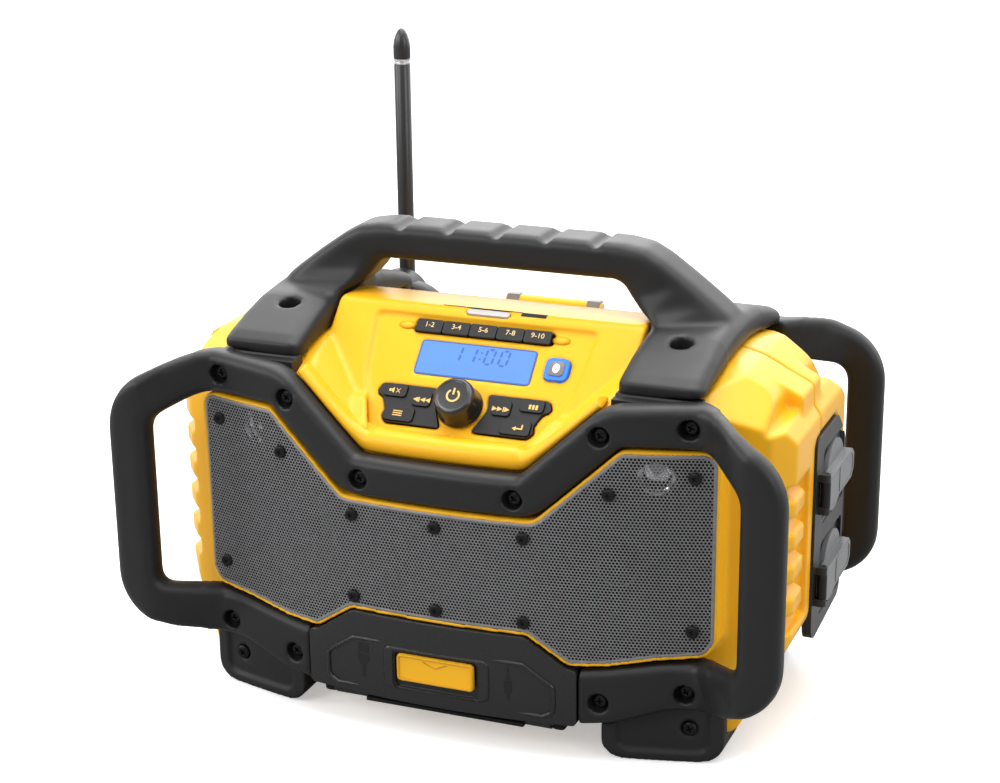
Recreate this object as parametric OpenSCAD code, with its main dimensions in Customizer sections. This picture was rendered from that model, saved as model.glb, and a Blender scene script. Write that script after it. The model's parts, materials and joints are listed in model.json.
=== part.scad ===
// Jobsite radio: yellow two-shell housing inside front and rear bumper frames with corner loops.
// X to the right, -Y to the front, Z up. Origin: centre of the overall box, on the ground.

/* [Bumper frames] */
// Overall width across the corner loops
overall_w = 444; // [436:1:456]
// Overall depth from front loops to rear loops
overall_d = 273; // [268:1:280]
// Radius of the bowed faces, seen from above
bow_r = 575; // [540:5:640]
// Distance from the middle plane to the frame face at the centre line
frame_y = 125.5; // [124.5:0.5:127]
// Front to back thickness of a frame along the housing
frame_t = 18.5; // [17.5:0.5:20]
// Front to back thickness of a corner loop
loop_t = 17; // [15:0.5:20]
// Width of a corner loop's bar
loop_bar = 28; // [24:0.5:30]
// Corner rounding of the frame section
frame_round = 7; // [4:0.5:8]
// Corner rounding of the frame section at the back
frame_back_round = 5; // [3:0.5:6]
// Height of the middle of the centre bar
dip_z = 170.5; // [169:0.5:172]
// Height of the middle of the top bar at the sides
top_z = 221; // [220:0.5:222]
// Height of the seam end of the bottom bar, at its middle
seam_z = 43; // [42:0.5:44]
// Half width of the device door between the seam ends
seam_x = 91.5; // [90:0.5:93]
// How much lower the rear loops hang than the front ones
rear_drop = 11; // [8:0.5:12]
// Diameter of a screw's counterbore
cbore_d = 12.6; // [11:0.2:14]
// Depth of a counterbore below the frame face
cbore_depth = 7.5; // [6:0.5:9]

/* [Fasteners] */
// Diameter of a frame screw's head
head_d = 9.6; // [8:0.2:10.4]
// Height of a frame screw's head
head_h = 3.2; // [2:0.2:4]
// Diameter of a frame screw's shank
shank_d = 4.8; // [4:0.2:5.2]
// Diameter of a grille screw's head
grille_head_d = 7; // [5:0.2:8]
// Clearance between parts that do not move
fit = 0.3; // [0.2:0.05:0.4]
// Radial clearance of a running pin
run = 0.06; // [0.03:0.01:0.09]

/* [Housing] */
// Half width of the housing ends
end_x = 209; // [207:0.5:210]
// Half width of the barrel that the handle straps cross
barrel_x = 193; // [191:0.5:195]
// Top of the barrel
barrel_z = 243; // [242:0.5:244]
// Top of the housing ends
end_z = 215; // [213:0.5:216]
// Bottom of the housing
floor_z = 16; // [15:0.5:17]
// Wall of the housing
wall = 3; // [2.5:0.1:3.4]
// Radius of the grille and of the plate behind it, seen from above
plate_r = 550; // [520:5:600]
// Distance from the middle plane to the front plate at the centre line
plate_y = 122; // [120:0.5:123]
// Height of the raised bead round the grille
bead_h = 2; // [1.5:0.1:3]
// Width of the bead round the grille
bead_w = 1.6; // [1.2:0.1:2.4]
// Number of ribs on each housing end
rib_count = 4; // [3:1:4]
// Distance between ribs
rib_pitch = 21.4; // [20:0.2:22]

/* [Control panel] */
// Slope of the control panel from the horizontal
panel_tilt = 45; // [44:0.5:46]
// Distance of the panel's lower edge from the middle plane
panel_y = 88; // [87:0.5:89]
// Height of the panel's lower edge
panel_z = 196.6; // [196:0.2:198]
// Depth of the recessed panel below the slope round it
panel_sink = 2.5; // [1.5:0.1:3]
// Top of the deck behind the panel
deck_z = 258; // [257:0.5:259]
// Width of the display window
lcd_w = 78.6; // [74:0.2:82]
// Height of the display window
lcd_h = 24.6; // [22:0.2:26]
// Width of one preset key
preset_w = 18.4; // [17:0.1:19]
// Height of one preset key
preset_h = 8.8; // [7:0.1:9.6]
// Diameter of the volume knob
knob_d = 28; // [25:0.5:29]
// Height of the volume knob
knob_h = 17; // [14:0.5:20]
// Diameter of the knob shaft
knob_shaft_d = 6; // [5:0.1:7]
// Travel of the keys
key_travel = 0.8; // [0.5:0.1:1]

/* [Handle] */
// Half distance between the middles of the two straps
strap_x = 132.5; // [131:0.5:134]
// Width of a strap
strap_w = 54.5; // [52:0.5:56]
// Thickness of a strap
strap_t = 16.5; // [15.5:0.5:17]
// Top of the grip
grip_z = 305; // [300:0.5:310]
// Height of the grip bar
grip_h = 24; // [22:0.5:26]
// Depth of the grip bar
grip_d = 36; // [32:0.5:38]
// Number of finger grooves
groove_count = 5; // [3:2:7]
// Distance between finger grooves
groove_pitch = 33.4; // [28:0.5:36]

/* [Doors and latches] */
// Thickness of the device door
door_t = 12; // [10:0.5:13]
// Width of the device door's latch
latch_w = 52; // [46:0.5:56]
// Height of the device door's latch
latch_h = 18; // [15:0.5:19]
// Travel of the device door's latch
latch_travel = 3.5; // [2:0.5:4]
// Half width of the battery door
bdoor_x = 64; // [60:0.5:66]
// Bottom edge of the battery door
bdoor_z0 = 65; // [64:0.5:67]
// Top edge of the battery door
bdoor_z1 = 218; // [214:0.5:219]
// Diameter of a hinge pin
pin_d = 4; // [3:0.1:4.4]

/* [Sockets] */
// Depth of the outlet panel, front to back
panel_d = 77; // [74:0.5:78]
// Height of the outlet panel
panel_h = 137; // [133:0.5:140]
// Diameter of a socket's recess
socket_d = 39; // [37:0.2:40]
// Depth of a socket's recess
socket_depth = 17; // [15:0.5:17.5]
// Depth of the square recess round a socket
socket_sink = 2.5; // [1.5:0.1:3]

/* [Antenna] */
// Distance of the antenna to the left of the middle
ant_x = 128; // [126:0.5:130]
// Height of the antenna's pivot
ant_z = 216; // [214:0.5:217]
// Height of the antenna's tip
ant_top = 408; // [390:1:430]
// Diameter of the antenna
ant_d = 12.4; // [10:0.2:13]
// Diameter of the antenna's mounting boss
ant_boss_d = 42; // [40:0.5:44]

/* [Speakers and electronics] */
// Distance of a woofer from the middle
woofer_x = 112; // [108:0.5:116]
// Height of a woofer's centre
woofer_z = 122; // [118:0.5:126]
// Diameter of a woofer's cone opening
woofer_d = 84; // [78:0.5:88]
// Diameter of a tweeter's opening
tweeter_d = 24; // [20:0.5:26]
// Thickness of a circuit board
board_t = 1.6; // [1.2:0.1:2]

/* [Hidden] */
$fn = 48;

yellow = "#f5b021";
charcoal = "#2f3032";
rubber = "#262729";
steel = "#8f9296";

half_w = overall_w / 2;
half_d = overall_d / 2;
bend_turn = 10.5;         // turn of each straight piece in a bend of the frame
ring_steps = 4;        // straight pieces in a rounded corner of a section

// ---------- helpers ----------
function smooth(t) = t <= 0 ? 0 : t >= 1 ? 1 : t * t * (3 - 2 * t);
function unit(v) = v / norm(v);
function mix(a, b, t) = a + (b - a) * t;

// Rounded polyline through [x, z, radius, width] points, as [x, z, width] points
function bend(p, q, r, turn) =
    let (a = unit([p[0] - q[0], p[1] - q[1]]), b = unit([r[0] - q[0], r[1] - q[1]]))
    let (half = acos(max(-1, min(1, a * b))) / 2, steps = max(1, round((180 - 2 * half) / turn)))
    let (reach = q[2] / tan(half), centre_gap = q[2] / sin(half))
    let (c = [q[0], q[1]] + unit(a + b) * centre_gap, p1 = [q[0], q[1]] + a * reach, p2 = [q[0], q[1]] + b * reach)
    [for (i = [0:steps]) let (w = mix(p1 - c, p2 - c, i / steps)) let (v = c + unit(w) * q[2]) [v[0], v[1], q[3]]];
function round_path(p, turn) = [
    [p[0][0], p[0][1], p[0][3]],
    for (i = [1:len(p) - 2]) each (p[i][2] > 0 ? bend(p[i - 1], p[i], p[i + 1], turn) : [[p[i][0], p[i][1], p[i][3]]]),
    [p[len(p) - 1][0], p[len(p) - 1][1], p[len(p) - 1][3]]];

// Closed outline with rounded corners from [x, y, radius] points
function round_outline(p, turn = 15) = let (n = len(p)) [
    for (i = [0:n - 1]) each (p[i][2] > 0
        ? [for (v = bend(p[(i + n - 1) % n], [p[i][0], p[i][1], p[i][2], 0], p[(i + 1) % n], turn)) [v[0], v[1]]]
        : [[p[i][0], p[i][1]]])];

// Path with extra points, so that none of its pieces is longer than step
function divide(p, step) = [
    p[0],
    for (i = [1:len(p) - 1])
        let (n = ceil(norm([p[i][0] - p[i - 1][0], p[i][1] - p[i - 1][1]]) / step))
        for (k = [1:n]) mix(p[i - 1], p[i], k / n)];

// Right half of an outline, completed by its mirror image
function mirrored(p) = concat(p, [for (i = [len(p) - 1:-1:0])
    concat([-p[i][0]], [for (k = [1:len(p[i]) - 1]) p[i][k]])]);

// Outline moved inwards by t; the points run anticlockwise
function inset(p, t) = let (n = len(p)) [
    for (i = [0:n - 1])
        let (a = unit(p[i] - p[(i + n - 1) % n]), b = unit(p[(i + 1) % n] - p[i]))
        let (na = [-a[1], a[0]], nb = [-b[1], b[0]])
        p[i] + (na + nb) * t / (1 + na * nb)];

// Ring of a rounded rectangle, w along u and d along v, rounded by r1 on the +v side and by r0 on the -v side
function ring(w, d, r1, r0) = [
    for (k = [0:3]) for (i = [0:ring_steps])
        let (a = 90 * k + 90 * i / ring_steps, r = k < 2 ? r1 : r0)
        let (cx = (k == 0 || k == 3 ? 1 : -1) * (w / 2 - r), cy = (k < 2 ? 1 : -1) * (d / 2 - r))
        [cx + r * cos(a), cy + r * sin(a)]];

// Solid through a list of rings of equal length
module loft(rings) {
    n = len(rings[0]);
    m = len(rings);
    polyhedron(
        points = [for (r = rings) each r],
        faces = concat(
            [[for (i = [0:n - 1]) i]],
            [for (k = [0:m - 2]) for (i = [0:n - 1])
                [k * n + i, (k + 1) * n + i, (k + 1) * n + (i + 1) % n, k * n + (i + 1) % n]],
            [[for (i = [n - 1:-1:0]) (m - 1) * n + i]]),
        convexity = 10);
}

// Outline in X and Z extruded along Y from y0 to y1
module front_prism(points, y0, y1) {
    translate([0, y1, 0])
        rotate([90, 0, 0])
            linear_extrude(y1 - y0)
                polygon(points);
}

// Outline in Y and Z extruded along X from x0 to x1
module side_prism(points, x0, x1) {
    translate([x0, 0, 0])
        rotate([90, 0, 90])
            linear_extrude(x1 - x0)
                polygon(points);
}

// Everything behind the bowed face that stands y0 in front of the middle plane
module bow_body(y0, r, z0 = -1, z1 = 300) {
    translate([0, r - y0, z0])
        cylinder(r = r, h = z1 - z0, $fn = 360);
}

module y_cyl(x, z, y0, y1, d) {
    translate([x, y1, z])
        rotate([90, 0, 0])
            cylinder(d = d, h = y1 - y0);
}

module x_cyl(x0, x1, y, z, d) {
    translate([x0, y, z])
        rotate([0, 90, 0])
            cylinder(d = d, h = x1 - x0);
}

// ---------- bumper frames ----------
flare_x0 = 158;
flare_x1 = 200;
function bow(x, r) = x * x / (2 * r);
function face_y(x) = abs(x) <= flare_x0
    ? -frame_y + bow(x, bow_r)
    : mix(-frame_y + bow(flare_x0, bow_r), -half_d, smooth((abs(x) - flare_x0) / (flare_x1 - flare_x0)));
function thick(x) = mix(frame_t, loop_t, smooth((abs(x) - flare_x0) / (flare_x1 - flare_x0)));

dip_w = 26;
top_w = 25.5;
seam_w = 38;
kink_x = 58.7;
shoulder_x = 110.7;
rear_end_x = 84;       // inner end of the rear frame's top bar

// Bottom bar, loop and top bar of one side, from the bottom upwards: [x, z, bend radius, width]
function frame_side(drop, bar) = [
    [108, seam_z + 2, 20, seam_w - 0.5],
    [139, seam_z + 10 - drop * 0.3, 20, 32],
    [165, seam_z + 13 - drop * 0.5, 20, 31],
    [half_w - bar / 2, seam_z + 30 - drop, 22, bar],
    [half_w - bar / 2, top_z - 18, 26, bar],
    [172, top_z + 0.5, 40, loop_bar - 0.5],
    [shoulder_x, top_z - 1.5, 16, top_w]];
front_path = divide(round_path(mirrored(concat(
    [[seam_x, seam_z, 0, seam_w]], frame_side(0, loop_bar), [[kink_x, dip_z, 18, dip_w]])), bend_turn), 20);
rear_half = concat(frame_side(rear_drop, loop_bar - 3), [[rear_end_x, top_z - 26.5, 0, top_w]]);
rear_path = divide(round_path([for (s = [-1, 1]) for (i = [0:len(rear_half) - 1])
    let (p = rear_half[s < 0 ? len(rear_half) - 1 - i : i]) [s * p[0], p[1], p[2], p[3]]], bend_turn), 20);

// Rings of a frame: each section stands across the path, its width in the plane of the frame.
// Front and back follow the bowed face point by point; level_ends squares the two ends to the seam.
function frame_rings(path, level_ends) = let (n = len(path)) [
    for (i = [0:n - 1])
        let (p = path[i], a = path[max(0, i - 1)], b = path[min(n - 1, i + 1)])
        let (along = unit([b[0] - a[0], b[1] - a[1]]), end = i == 0 || i == n - 1)
        let (t = level_ends && end ? [1, 0] : along, nrm = [t[1], -t[0]])
        [for (q = ring(p[2], thick(p[0]), frame_back_round, frame_round))
            let (x = p[0] + nrm[0] * q[0])
            [x, face_y(x) + thick(x) * (0.5 + q[1] / thick(p[0])), p[1] + nrm[1] * q[0]]]];

// Screws along each frame: [x, z]
screw_inner_x = 103.5;
screw_outer_x = 155.5;
side_screws = [[screw_inner_x, top_z - 7.2], [screw_outer_x, top_z],
    [screw_inner_x + 0.4, seam_z - 2.1], [screw_outer_x, seam_z + 8]];
front_screws = concat([[51.2, dip_z - 0.8]], side_screws);
rear_screws = concat([[92, top_z - 19]], [for (i = [1:3]) side_screws[i]]);
function head_y(x) = -frame_y + bow(x, bow_r) + cbore_depth;

module frame_body(path, screws, level_ends) {
    difference() {
        loft(frame_rings(path, level_ends));
        for (s = [-1, 1]) for (p = screws) {
            y_cyl(s * p[0], p[1], -half_d - 5, head_y(p[0]), cbore_d);
            y_cyl(s * p[0], p[1], -half_d, -half_d + 80, shank_d + 0.4);
        }
    }
}

ant_boss_y = frame_y - frame_t - 4;
ant_y = frame_y - bow(rear_end_x, bow_r) + fit + ant_d / 2;
ant_boss_t = ant_y - ant_d / 2 - fit - ant_boss_y;

module front_frame() {
    color(charcoal) frame_body(front_path, front_screws, true);
}

module rear_frame() {
    color(charcoal)
        difference() {
            mirror([0, 1, 0]) frame_body(rear_path, rear_screws, false);
            y_cyl(-ant_x, ant_z, ant_boss_y - fit, half_d, ant_boss_d + 2 * fit);
        }
}

// ---------- handle ----------
strap_x0 = strap_x - strap_w / 2;
strap_x1 = strap_x + strap_w / 2;
strap_end_slope = 0.049;
function strap_end_z(x) = top_z - 1.5 + top_w / 2 + 0.4 + strap_end_slope * (x - shoulder_x);

// Front half of a strap, front end to crown: [outer y, outer z, inner y, inner z]
crown_z = barrel_z + strap_t + 1.6;
strap_half = [
    [-91.2, crown_z - 20, -91.2 + strap_t, crown_z - 24.6],
    [-83, crown_z - 15.7, -66, barrel_z - 5.8],
    [-62, crown_z - 9.4, -58, barrel_z - 4.9],
    [-38.5, crown_z - 2.8, -37, barrel_z - 1.9],
    [-15, crown_z, -14, barrel_z + fit]];
strap_line = concat(strap_half, [for (i = [len(strap_half) - 1:-1:0])
    let (p = strap_half[i]) [-p[0], p[1], -p[2], p[3]]]);
strap_top_round = 11;

// Ring of a strap between an outer and an inner point; the ends stop on the frame
function strap_ring(p, end) =
    let (o = [p[0], p[1]], i = [p[2], p[3]], m = (o + i) / 2, n = unit(o - i), d = norm(o - i))
    [for (q = ring(strap_w, d, min(strap_top_round, d / 2), 1.5))
        let (yz = m + n * q[1]) [strap_x - q[0], yz[0], end ? strap_end_z(strap_x - q[0]) : yz[1]]];
strap_foot = [strap_line[0][0], strap_line[0][2]];

module strap() {
    front_end = [strap_foot[0], 0, strap_foot[1], 0];
    back_end = [-strap_foot[0], 0, -strap_foot[1], 0];
    loft(concat(
        [strap_ring(front_end, true)],
        [for (p = strap_line) strap_ring(p, false)],
        [strap_ring(back_end, true)]));
}

// Leg and half of the grip, from the strap upwards:
// [inner x, inner z, outer x, outer z, half depth in, half depth out]
grip_half = [
    [strap_x0 + 0.3, barrel_z + 4, 156, barrel_z + 10, 36, 16],
    [strap_x0 + 0.1, deck_z + 0.8, 152, 264, 34, 16],
    [97, deck_z + 5.6, 143.5, 271, 26, 16.5],
    [88.8, 271.5, 127, 283.5, 20, 17],
    [84, grip_z - grip_h - 3, 109, 296, grip_d / 2, grip_d / 2],
    [78, grip_z - grip_h, 97, 302.5, grip_d / 2, grip_d / 2],
    [66, grip_z - grip_h, 82, grip_z, grip_d / 2, grip_d / 2]];
grip_line = concat(grip_half, [for (i = [len(grip_half) - 1:-1:0])
    let (p = grip_half[i]) [-p[0], p[1], -p[2], p[3], p[4], p[5]]]);
grip_round = 8;

module grip() {
    loft([for (p = grip_line)
        let (i = [p[0], p[1]], o = [p[2], p[3]], m = (o + i) / 2, w = norm(o - i), n = (o - i) / w)
        [for (q = ring(w, grip_d, grip_round, grip_round))
            let (xz = m + n * q[0], h = mix(p[4], p[5], q[0] / w + 0.5))
            [xz[0], q[1] * h / (grip_d / 2), xz[1]]]]);
}

groove_w = 12;
groove_depth = 4;
module groove(x) {
    front_prism([[x - groove_w * 0.65, grip_z + 1], [x - 1.5, grip_z - groove_depth],
        [x + 1.5, grip_z - groove_depth], [x + groove_w * 0.35, grip_z + 1]], -grip_d, grip_d);
}

strap_hole_y = 47;
strap_hole_d = 13.5;
strap_seat_z = barrel_z + 1;

module handle() {
    color(charcoal)
        difference() {
            union() {
                for (s = [0, 1]) mirror([s, 0, 0]) strap();
                grip();
            }
            for (k = [0:groove_count - 1]) groove((k - (groove_count - 1) / 2) * groove_pitch);
            for (sx = [-1, 1]) for (sy = [-1, 1]) translate([sx * strap_x, sy * strap_hole_y, 0]) {
                translate([0, 0, strap_seat_z]) cylinder(d = strap_hole_d, h = 20);
                translate([0, 0, 200]) cylinder(d = shank_d + 0.4, h = 60);
            }
        }
}

// ---------- fasteners ----------
module y_screw(x, z, seat, length) {
    y_cyl(x, z, seat - head_h, seat, head_d);
    y_cyl(x, z, seat - 1, seat + length, shank_d);
}

foot_screw_z = 22;
foot_face = frame_y - 10.2;   // distance of the foot's bowed face from the middle plane
foot_sink = 2.5;
foot_seat = -foot_face + bow(screw_outer_x, bow_r) + foot_sink + 2.4;
module frame_screws() {
    color(steel) {
        for (s = [-1, 1]) {
            for (p = front_screws) y_screw(s * p[0], p[1], head_y(p[0]), frame_t - cbore_depth + 8);
            for (p = rear_screws) mirror([0, 1, 0]) y_screw(s * p[0], p[1], head_y(p[0]), frame_t - cbore_depth + 8);
            for (k = [0, 1]) mirror([0, k, 0]) y_screw(s * screw_outer_x, foot_screw_z, foot_seat, 18);
        }
    }
}

module handle_screws() {
    color(steel)
        for (sx = [-1, 1]) for (sy = [-1, 1]) translate([sx * strap_x, sy * strap_hole_y, strap_seat_z]) {
            cylinder(d = head_d, h = head_h);
            translate([0, 0, -18]) cylinder(d = shank_d, h = 19);
        }
}

// ---------- feet ----------
foot_x0 = 102.5;
foot_x1 = 176.5;
foot_back = 52;
foot_r = 13;
foot_outline = round_outline([[foot_x0, 0, foot_r], [foot_x1, 0, foot_r], [foot_x1, 46, 0], [foot_x0, 46, 0]]);
foot_panel = round_outline([[foot_x0 + 10, 6, 7], [foot_x1 - 9, 6, 7], [foot_x1 - 9, 60, 0], [foot_x0 + 10, 60, 0]]);
// Lower edge of the frame's bottom bar over a foot
frame_under = [[60, 22], [seam_x, seam_z - seam_w / 2 - 0.6], [109, seam_z - seam_w / 2 + 1.5], [141, seam_z - 6.5],
    [168, seam_z - 2.6], [200, seam_z + 9]];
function lowered(p, dz) = [for (q = p) [q[0], q[1] - dz]];

// Foot at the front right; the other three are its mirror images
module foot(drop) {
    difference() {
        intersection() {
            front_prism(foot_outline, -130, -foot_back);
            bow_body(foot_face, bow_r);
        }
        difference() {
            front_prism(foot_panel, -130, -80);
            bow_body(foot_face - foot_sink, bow_r, -2, 301);
        }
        intersection() {
            bow_body(body_y + fit, bow_r);
            translate([0, -150, floor_z - fit]) cube([250, 150, 100]);
        }
        front_prism(concat(lowered(frame_under, drop * 0.5 + 1.4), [[200, 80], [60, 80]]),
            -150, -60);
        y_cyl(screw_outer_x, foot_screw_z, -130, foot_seat, head_d + 2);
        y_cyl(screw_outer_x, foot_screw_z, -110, -60, shank_d + 0.4);
    }
}
module foot_front_left() { color(rubber) mirror([1, 0, 0]) foot(0); }
module foot_front_right() { color(rubber) foot(0); }
module foot_rear_left() { color(rubber) mirror([0, 1, 0]) mirror([1, 0, 0]) foot(rear_drop); }
module foot_rear_right() { color(rubber) mirror([0, 1, 0]) foot(rear_drop); }

// ---------- housing ----------
body_y = frame_y - frame_t - fit;
centre_x = strap_x0 - fit - 0.6;
slope_lift = panel_sink / cos(panel_tilt);
function slope_z(y) = panel_z + (y + panel_y) * tan(panel_tilt) + slope_lift;
function slope_y(z) = (z - slope_lift - panel_z) / tan(panel_tilt) - panel_y;
shelf_z = 226.5;
shelf_y = 84;

under_h = 14;          // height of the cut along the lower front and rear edges
under_front = [[-body_y, floor_z + under_h, 0], [-body_y + under_h, floor_z, 0]];
under_rear = [[body_y - under_h, floor_z, 0], [body_y, floor_z + under_h, 0]];
centre_profile = round_outline(concat(under_front, under_rear, [
    [body_y, 215, 3], [97, shelf_z, 3], [shelf_y, shelf_z, 3],
    [0, deck_z, 12], [slope_y(deck_z), deck_z, 6], [-body_y, slope_z(-body_y), 0]]));
// Rear half of the barrel's profile, upwards
barrel_half = [[body_y, 208, 0], [99, 219, 10], [90, barrel_z - 17, 8], [75, barrel_z - 11.3, 20],
    [59, barrel_z - 6.8, 20], [37, barrel_z - 2.6, 40], [13, barrel_z - 0.1, 0]];
barrel_profile = round_outline(concat(under_front, under_rear, barrel_half,
    [for (i = [len(barrel_half) - 1:-1:0]) [-barrel_half[i][0], barrel_half[i][1], barrel_half[i][2]]]));
end_profile = round_outline(concat(under_front, under_rear, [
    [body_y, 168, 0], [76, 190, 10], [46, end_z - 1.5, 16], [24, end_z, 0],
    [-28, end_z, 0], [-84, end_z - 5, 12], [-body_y, 196, 0]]));
// Fall of the barrel towards its end
barrel_front = round_outline([[60, 0, 0], [barrel_x, 0, 0], [barrel_x, barrel_z - 18, 9],
    [barrel_x - 7, barrel_z - 11, 10], [172, barrel_z - 3.8, 30], [156, barrel_z, 20], [60, barrel_z, 0]], 9);
barrel_start = strap_x0 + 1;
front_outline = round_outline([[182, floor_z, 12], [190, 52, 12], [end_x, 72, 14], [end_x, 300, 0],
    [-end_x, 300, 0], [-end_x, 72, 14], [-190, 52, 12], [-182, floor_z, 12]]);
// Cut along the upper edge of the housing ends
end_front = mirrored([[end_x + 1, 0], [end_x + 1, end_z - 14], [end_x - 8, end_z + 0.2]]);
corner_x = 191;        // where the cut upright corner at the front begins
corner_y = -57;        // where it ends on the side
plan_outline = round_outline([[end_x, 120, 0], [-end_x, 120, 0],
    [-end_x, corner_y, 5], [-corner_x, -79.5, 6], [-120, -140, 0],
    [120, -140, 0], [corner_x, -79.5, 6], [end_x, corner_y, 5]]);

// Block on the shoulder of each end, beside the barrel
block_y0 = -28;
block_y1 = 19;
block_x = end_x - 5;
block_outline = round_outline([[180, 190, 0], [block_x, 190, 0], [block_x, end_z + 7.5, 3],
    [block_x - 3.5, end_z + 9.8, 2], [186, end_z + 16.6, 2], [180, end_z + 16.6, 0]], 20);

// Everything beyond the plane through p with normal n, the plane moved back by t
module beyond(p, n, t) {
    translate(p - t * n)
        rotate([0, acos(n[2] / norm(n)), atan2(n[1], n[0])])
            translate([-200, -200, 0])
                cube([400, 400, 100]);
}

// Outer form of both shells together, moved inwards by t
module body_form(t) {
    intersection() {
        union() {
            side_prism(inset(centre_profile, t), -centre_x + t, centre_x - t);
            for (s = [0, 1]) mirror([s, 0, 0]) {
                // slope that rises from the panel's side to the barrel
                difference() {
                    side_prism(inset(barrel_profile, t), 66 + t, centre_x - t);
                    beyond([centre_x, -46, barrel_z - 2], [-0.567, -0.181, 0.803], t);
                }
                // hidden part under the strap's edge that joins the centre to the barrel
                translate([centre_x - 8, 0, 0]) rotate([90, 0, 90]) linear_extrude(barrel_start - centre_x + 12)
                    intersection() {
                        polygon(inset(centre_profile, t));
                        polygon(inset(barrel_profile, t));
                    }
                difference() {
                    intersection() {
                        side_prism(inset(barrel_profile, t), barrel_start + t, barrel_x - t);
                        front_prism(inset(barrel_front, t), -150, 150);
                    }
                    // sloping corners at the front and rear of the barrel's end
                    beyond([barrel_x - 18, -45, barrel_z - 4.5], [0.396, -0.434, 0.809], t);
                    beyond([barrel_x - 24, 48, barrel_z - 3], [0.564, 0.499, 0.658], t);
                }
                front_prism(inset(block_outline, t), block_y0 + t, block_y1 - t);
            }
            intersection() {
                side_prism(inset(end_profile, t), -end_x + t, end_x - t);
                front_prism(inset(end_front, t), -150, 150);
            }
        }
        bow_body(body_y - t, bow_r - t);
        mirror([0, 1, 0]) bow_body(body_y - t, bow_r - t);
        front_prism(inset(front_outline, t), -150, 150);
        linear_extrude(300) polygon(inset(plan_outline, t));
    }
}

// Speaker plate that stands forward inside the front frame, right half
plate_top = dip_z - dip_w / 2 - fit - 0.4;
plate_side = 173;
plate_half = [[58.6, 81.6, 8], [85, 63.7, 5], [108, 65.4, 10], [138, 71.4, 10],
    [plate_side - 6, 74.5, 8], [plate_side, 84, 5], [plate_side, top_z - 19, 8],
    [plate_side - 8, top_z - 14.6, 4], [115.8, top_z - 15.4, 8], [63.5, plate_top, 10]];
plate_outline = round_outline(mirrored(plate_half));

module plate_form(t) {
    intersection() {
        front_prism(inset(plate_outline, t), -150, -60);
        bow_body(plate_y - t, plate_r - t);
    }
}
module plate_bead() {
    intersection() {
        difference() {
            front_prism(plate_outline, -150, -85);
            front_prism(inset(plate_outline, bead_w), -160, -80);
        }
        bow_body(plate_y + bead_h, plate_r + bead_h);
        difference() {
            translate([-250, -150, 0]) cube([500, 100, 300]);
            bow_body(plate_y - 1, plate_r - 1, -2, 301);
        }
    }
}

// Device bay behind the door
bay_x = 70;
bay_z0 = 29;
bay_z1 = 74;
bay_back = 52;
bay_wall = 2;
door_half = [[seam_x - 0.5, seam_z - seam_w / 2 + 0.5, 3], [seam_x - 0.5, seam_z + seam_w / 2 - 0.5, 3],
    [84.2, 62.9, 5], [58.3, 81, 8]];
door_outline = round_outline(mirrored(door_half));
bay_outline = round_outline(mirrored([[seam_x - 4, 27, 3], [seam_x - 4, 60, 3], [83, 61.5, 3], [57.5, 79.5, 5]]));
module bay_form() {
    intersection() {
        front_prism(bay_outline, -150, -90);
        bow_body(frame_y - door_t - fit, bow_r);
    }
    translate([-bay_x - bay_wall, -105, bay_z0 - bay_wall])
        cube([2 * (bay_x + bay_wall), 105 - bay_back + bay_wall, bay_z1 - bay_z0 + 2 * bay_wall]);
}
module bay_hollow() {
    translate([-bay_x, -160, bay_z0]) cube([2 * bay_x, 160 - bay_back, bay_z1 - bay_z0]);
}

// Ribs round the front corner of each housing end
rib_top = 166.3;       // top of the outer face of the highest rib
rib_h = 9.8;
rib_sink = 6;
rib_y1 = -34;
rib_x0 = 194.5;
field_y1 = -24;
field_z0 = 80;
field_z1 = 176;
// Plan of the recess, moved inwards by t
function field_plan(t) = [[rib_x0 - t, -100], [end_x + 10, -100], [end_x + 10, field_y1 + t],
    [end_x - rib_sink - t, field_y1 + t], [end_x - rib_sink - t, -53.8 + t * 0.4], [rib_x0 - t, -65 + t * 0.4]];
module rib_pocket() {
    difference() {
        translate([0, 0, field_z0]) linear_extrude(field_z1 - field_z0) polygon(field_plan(0));
        for (k = [0:rib_count - 1]) translate([0, 0, rib_top - k * rib_pitch]) side_rib();
    }
}
// One rib round the corner, narrower outside than at its foot
module side_rib() {
    rib_profile = [[end_x, 0], [end_x - rib_sink - 1, 4], [150, 4], [150, -rib_h - 5],
        [end_x - rib_sink - 1, -rib_h - 5], [end_x, -rib_h]];
    side_len = rib_y1 + 100;
    intersection() {
        translate([0, rib_y1, 0]) rotate([90, 0, 0]) linear_extrude(side_len) polygon(rib_profile);
        translate([end_x, corner_y, 0]) rotate([0, 0, corner_turn])
            translate([-end_x, 60, 0]) rotate([90, 0, 0]) linear_extrude(200) polygon(rib_profile);
    }
}
corner_turn = -atan2(end_x - corner_x, corner_y + 79.5);
// Wall behind the recess
module rib_backing() {
    intersection() {
        body_form(0);
        translate([0, 0, field_z0 - wall]) linear_extrude(field_z1 - field_z0 + 2 * wall) polygon(field_plan(wall));
    }
}

// Places a child square to the speaker plate at distance x and height z; its -Y points out
module on_plate(x, z) {
    a = asin(x / plate_r);
    translate([x, plate_r - plate_y - plate_r * cos(a), z])
        rotate([0, 0, a])
            children();
}
module driver_boss(d, rim) {
    difference() {
        y_cyl(0, 0, 2.6, driver_seat, d + 2 * rim);
        y_cyl(0, 0, 0, driver_seat + 1, d);
    }
}
driver_seat = 9;
driver_rim = 7;
tweeter_rim = 5.5;
tweeter_x = 136;
tweeter_z = 186;

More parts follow.
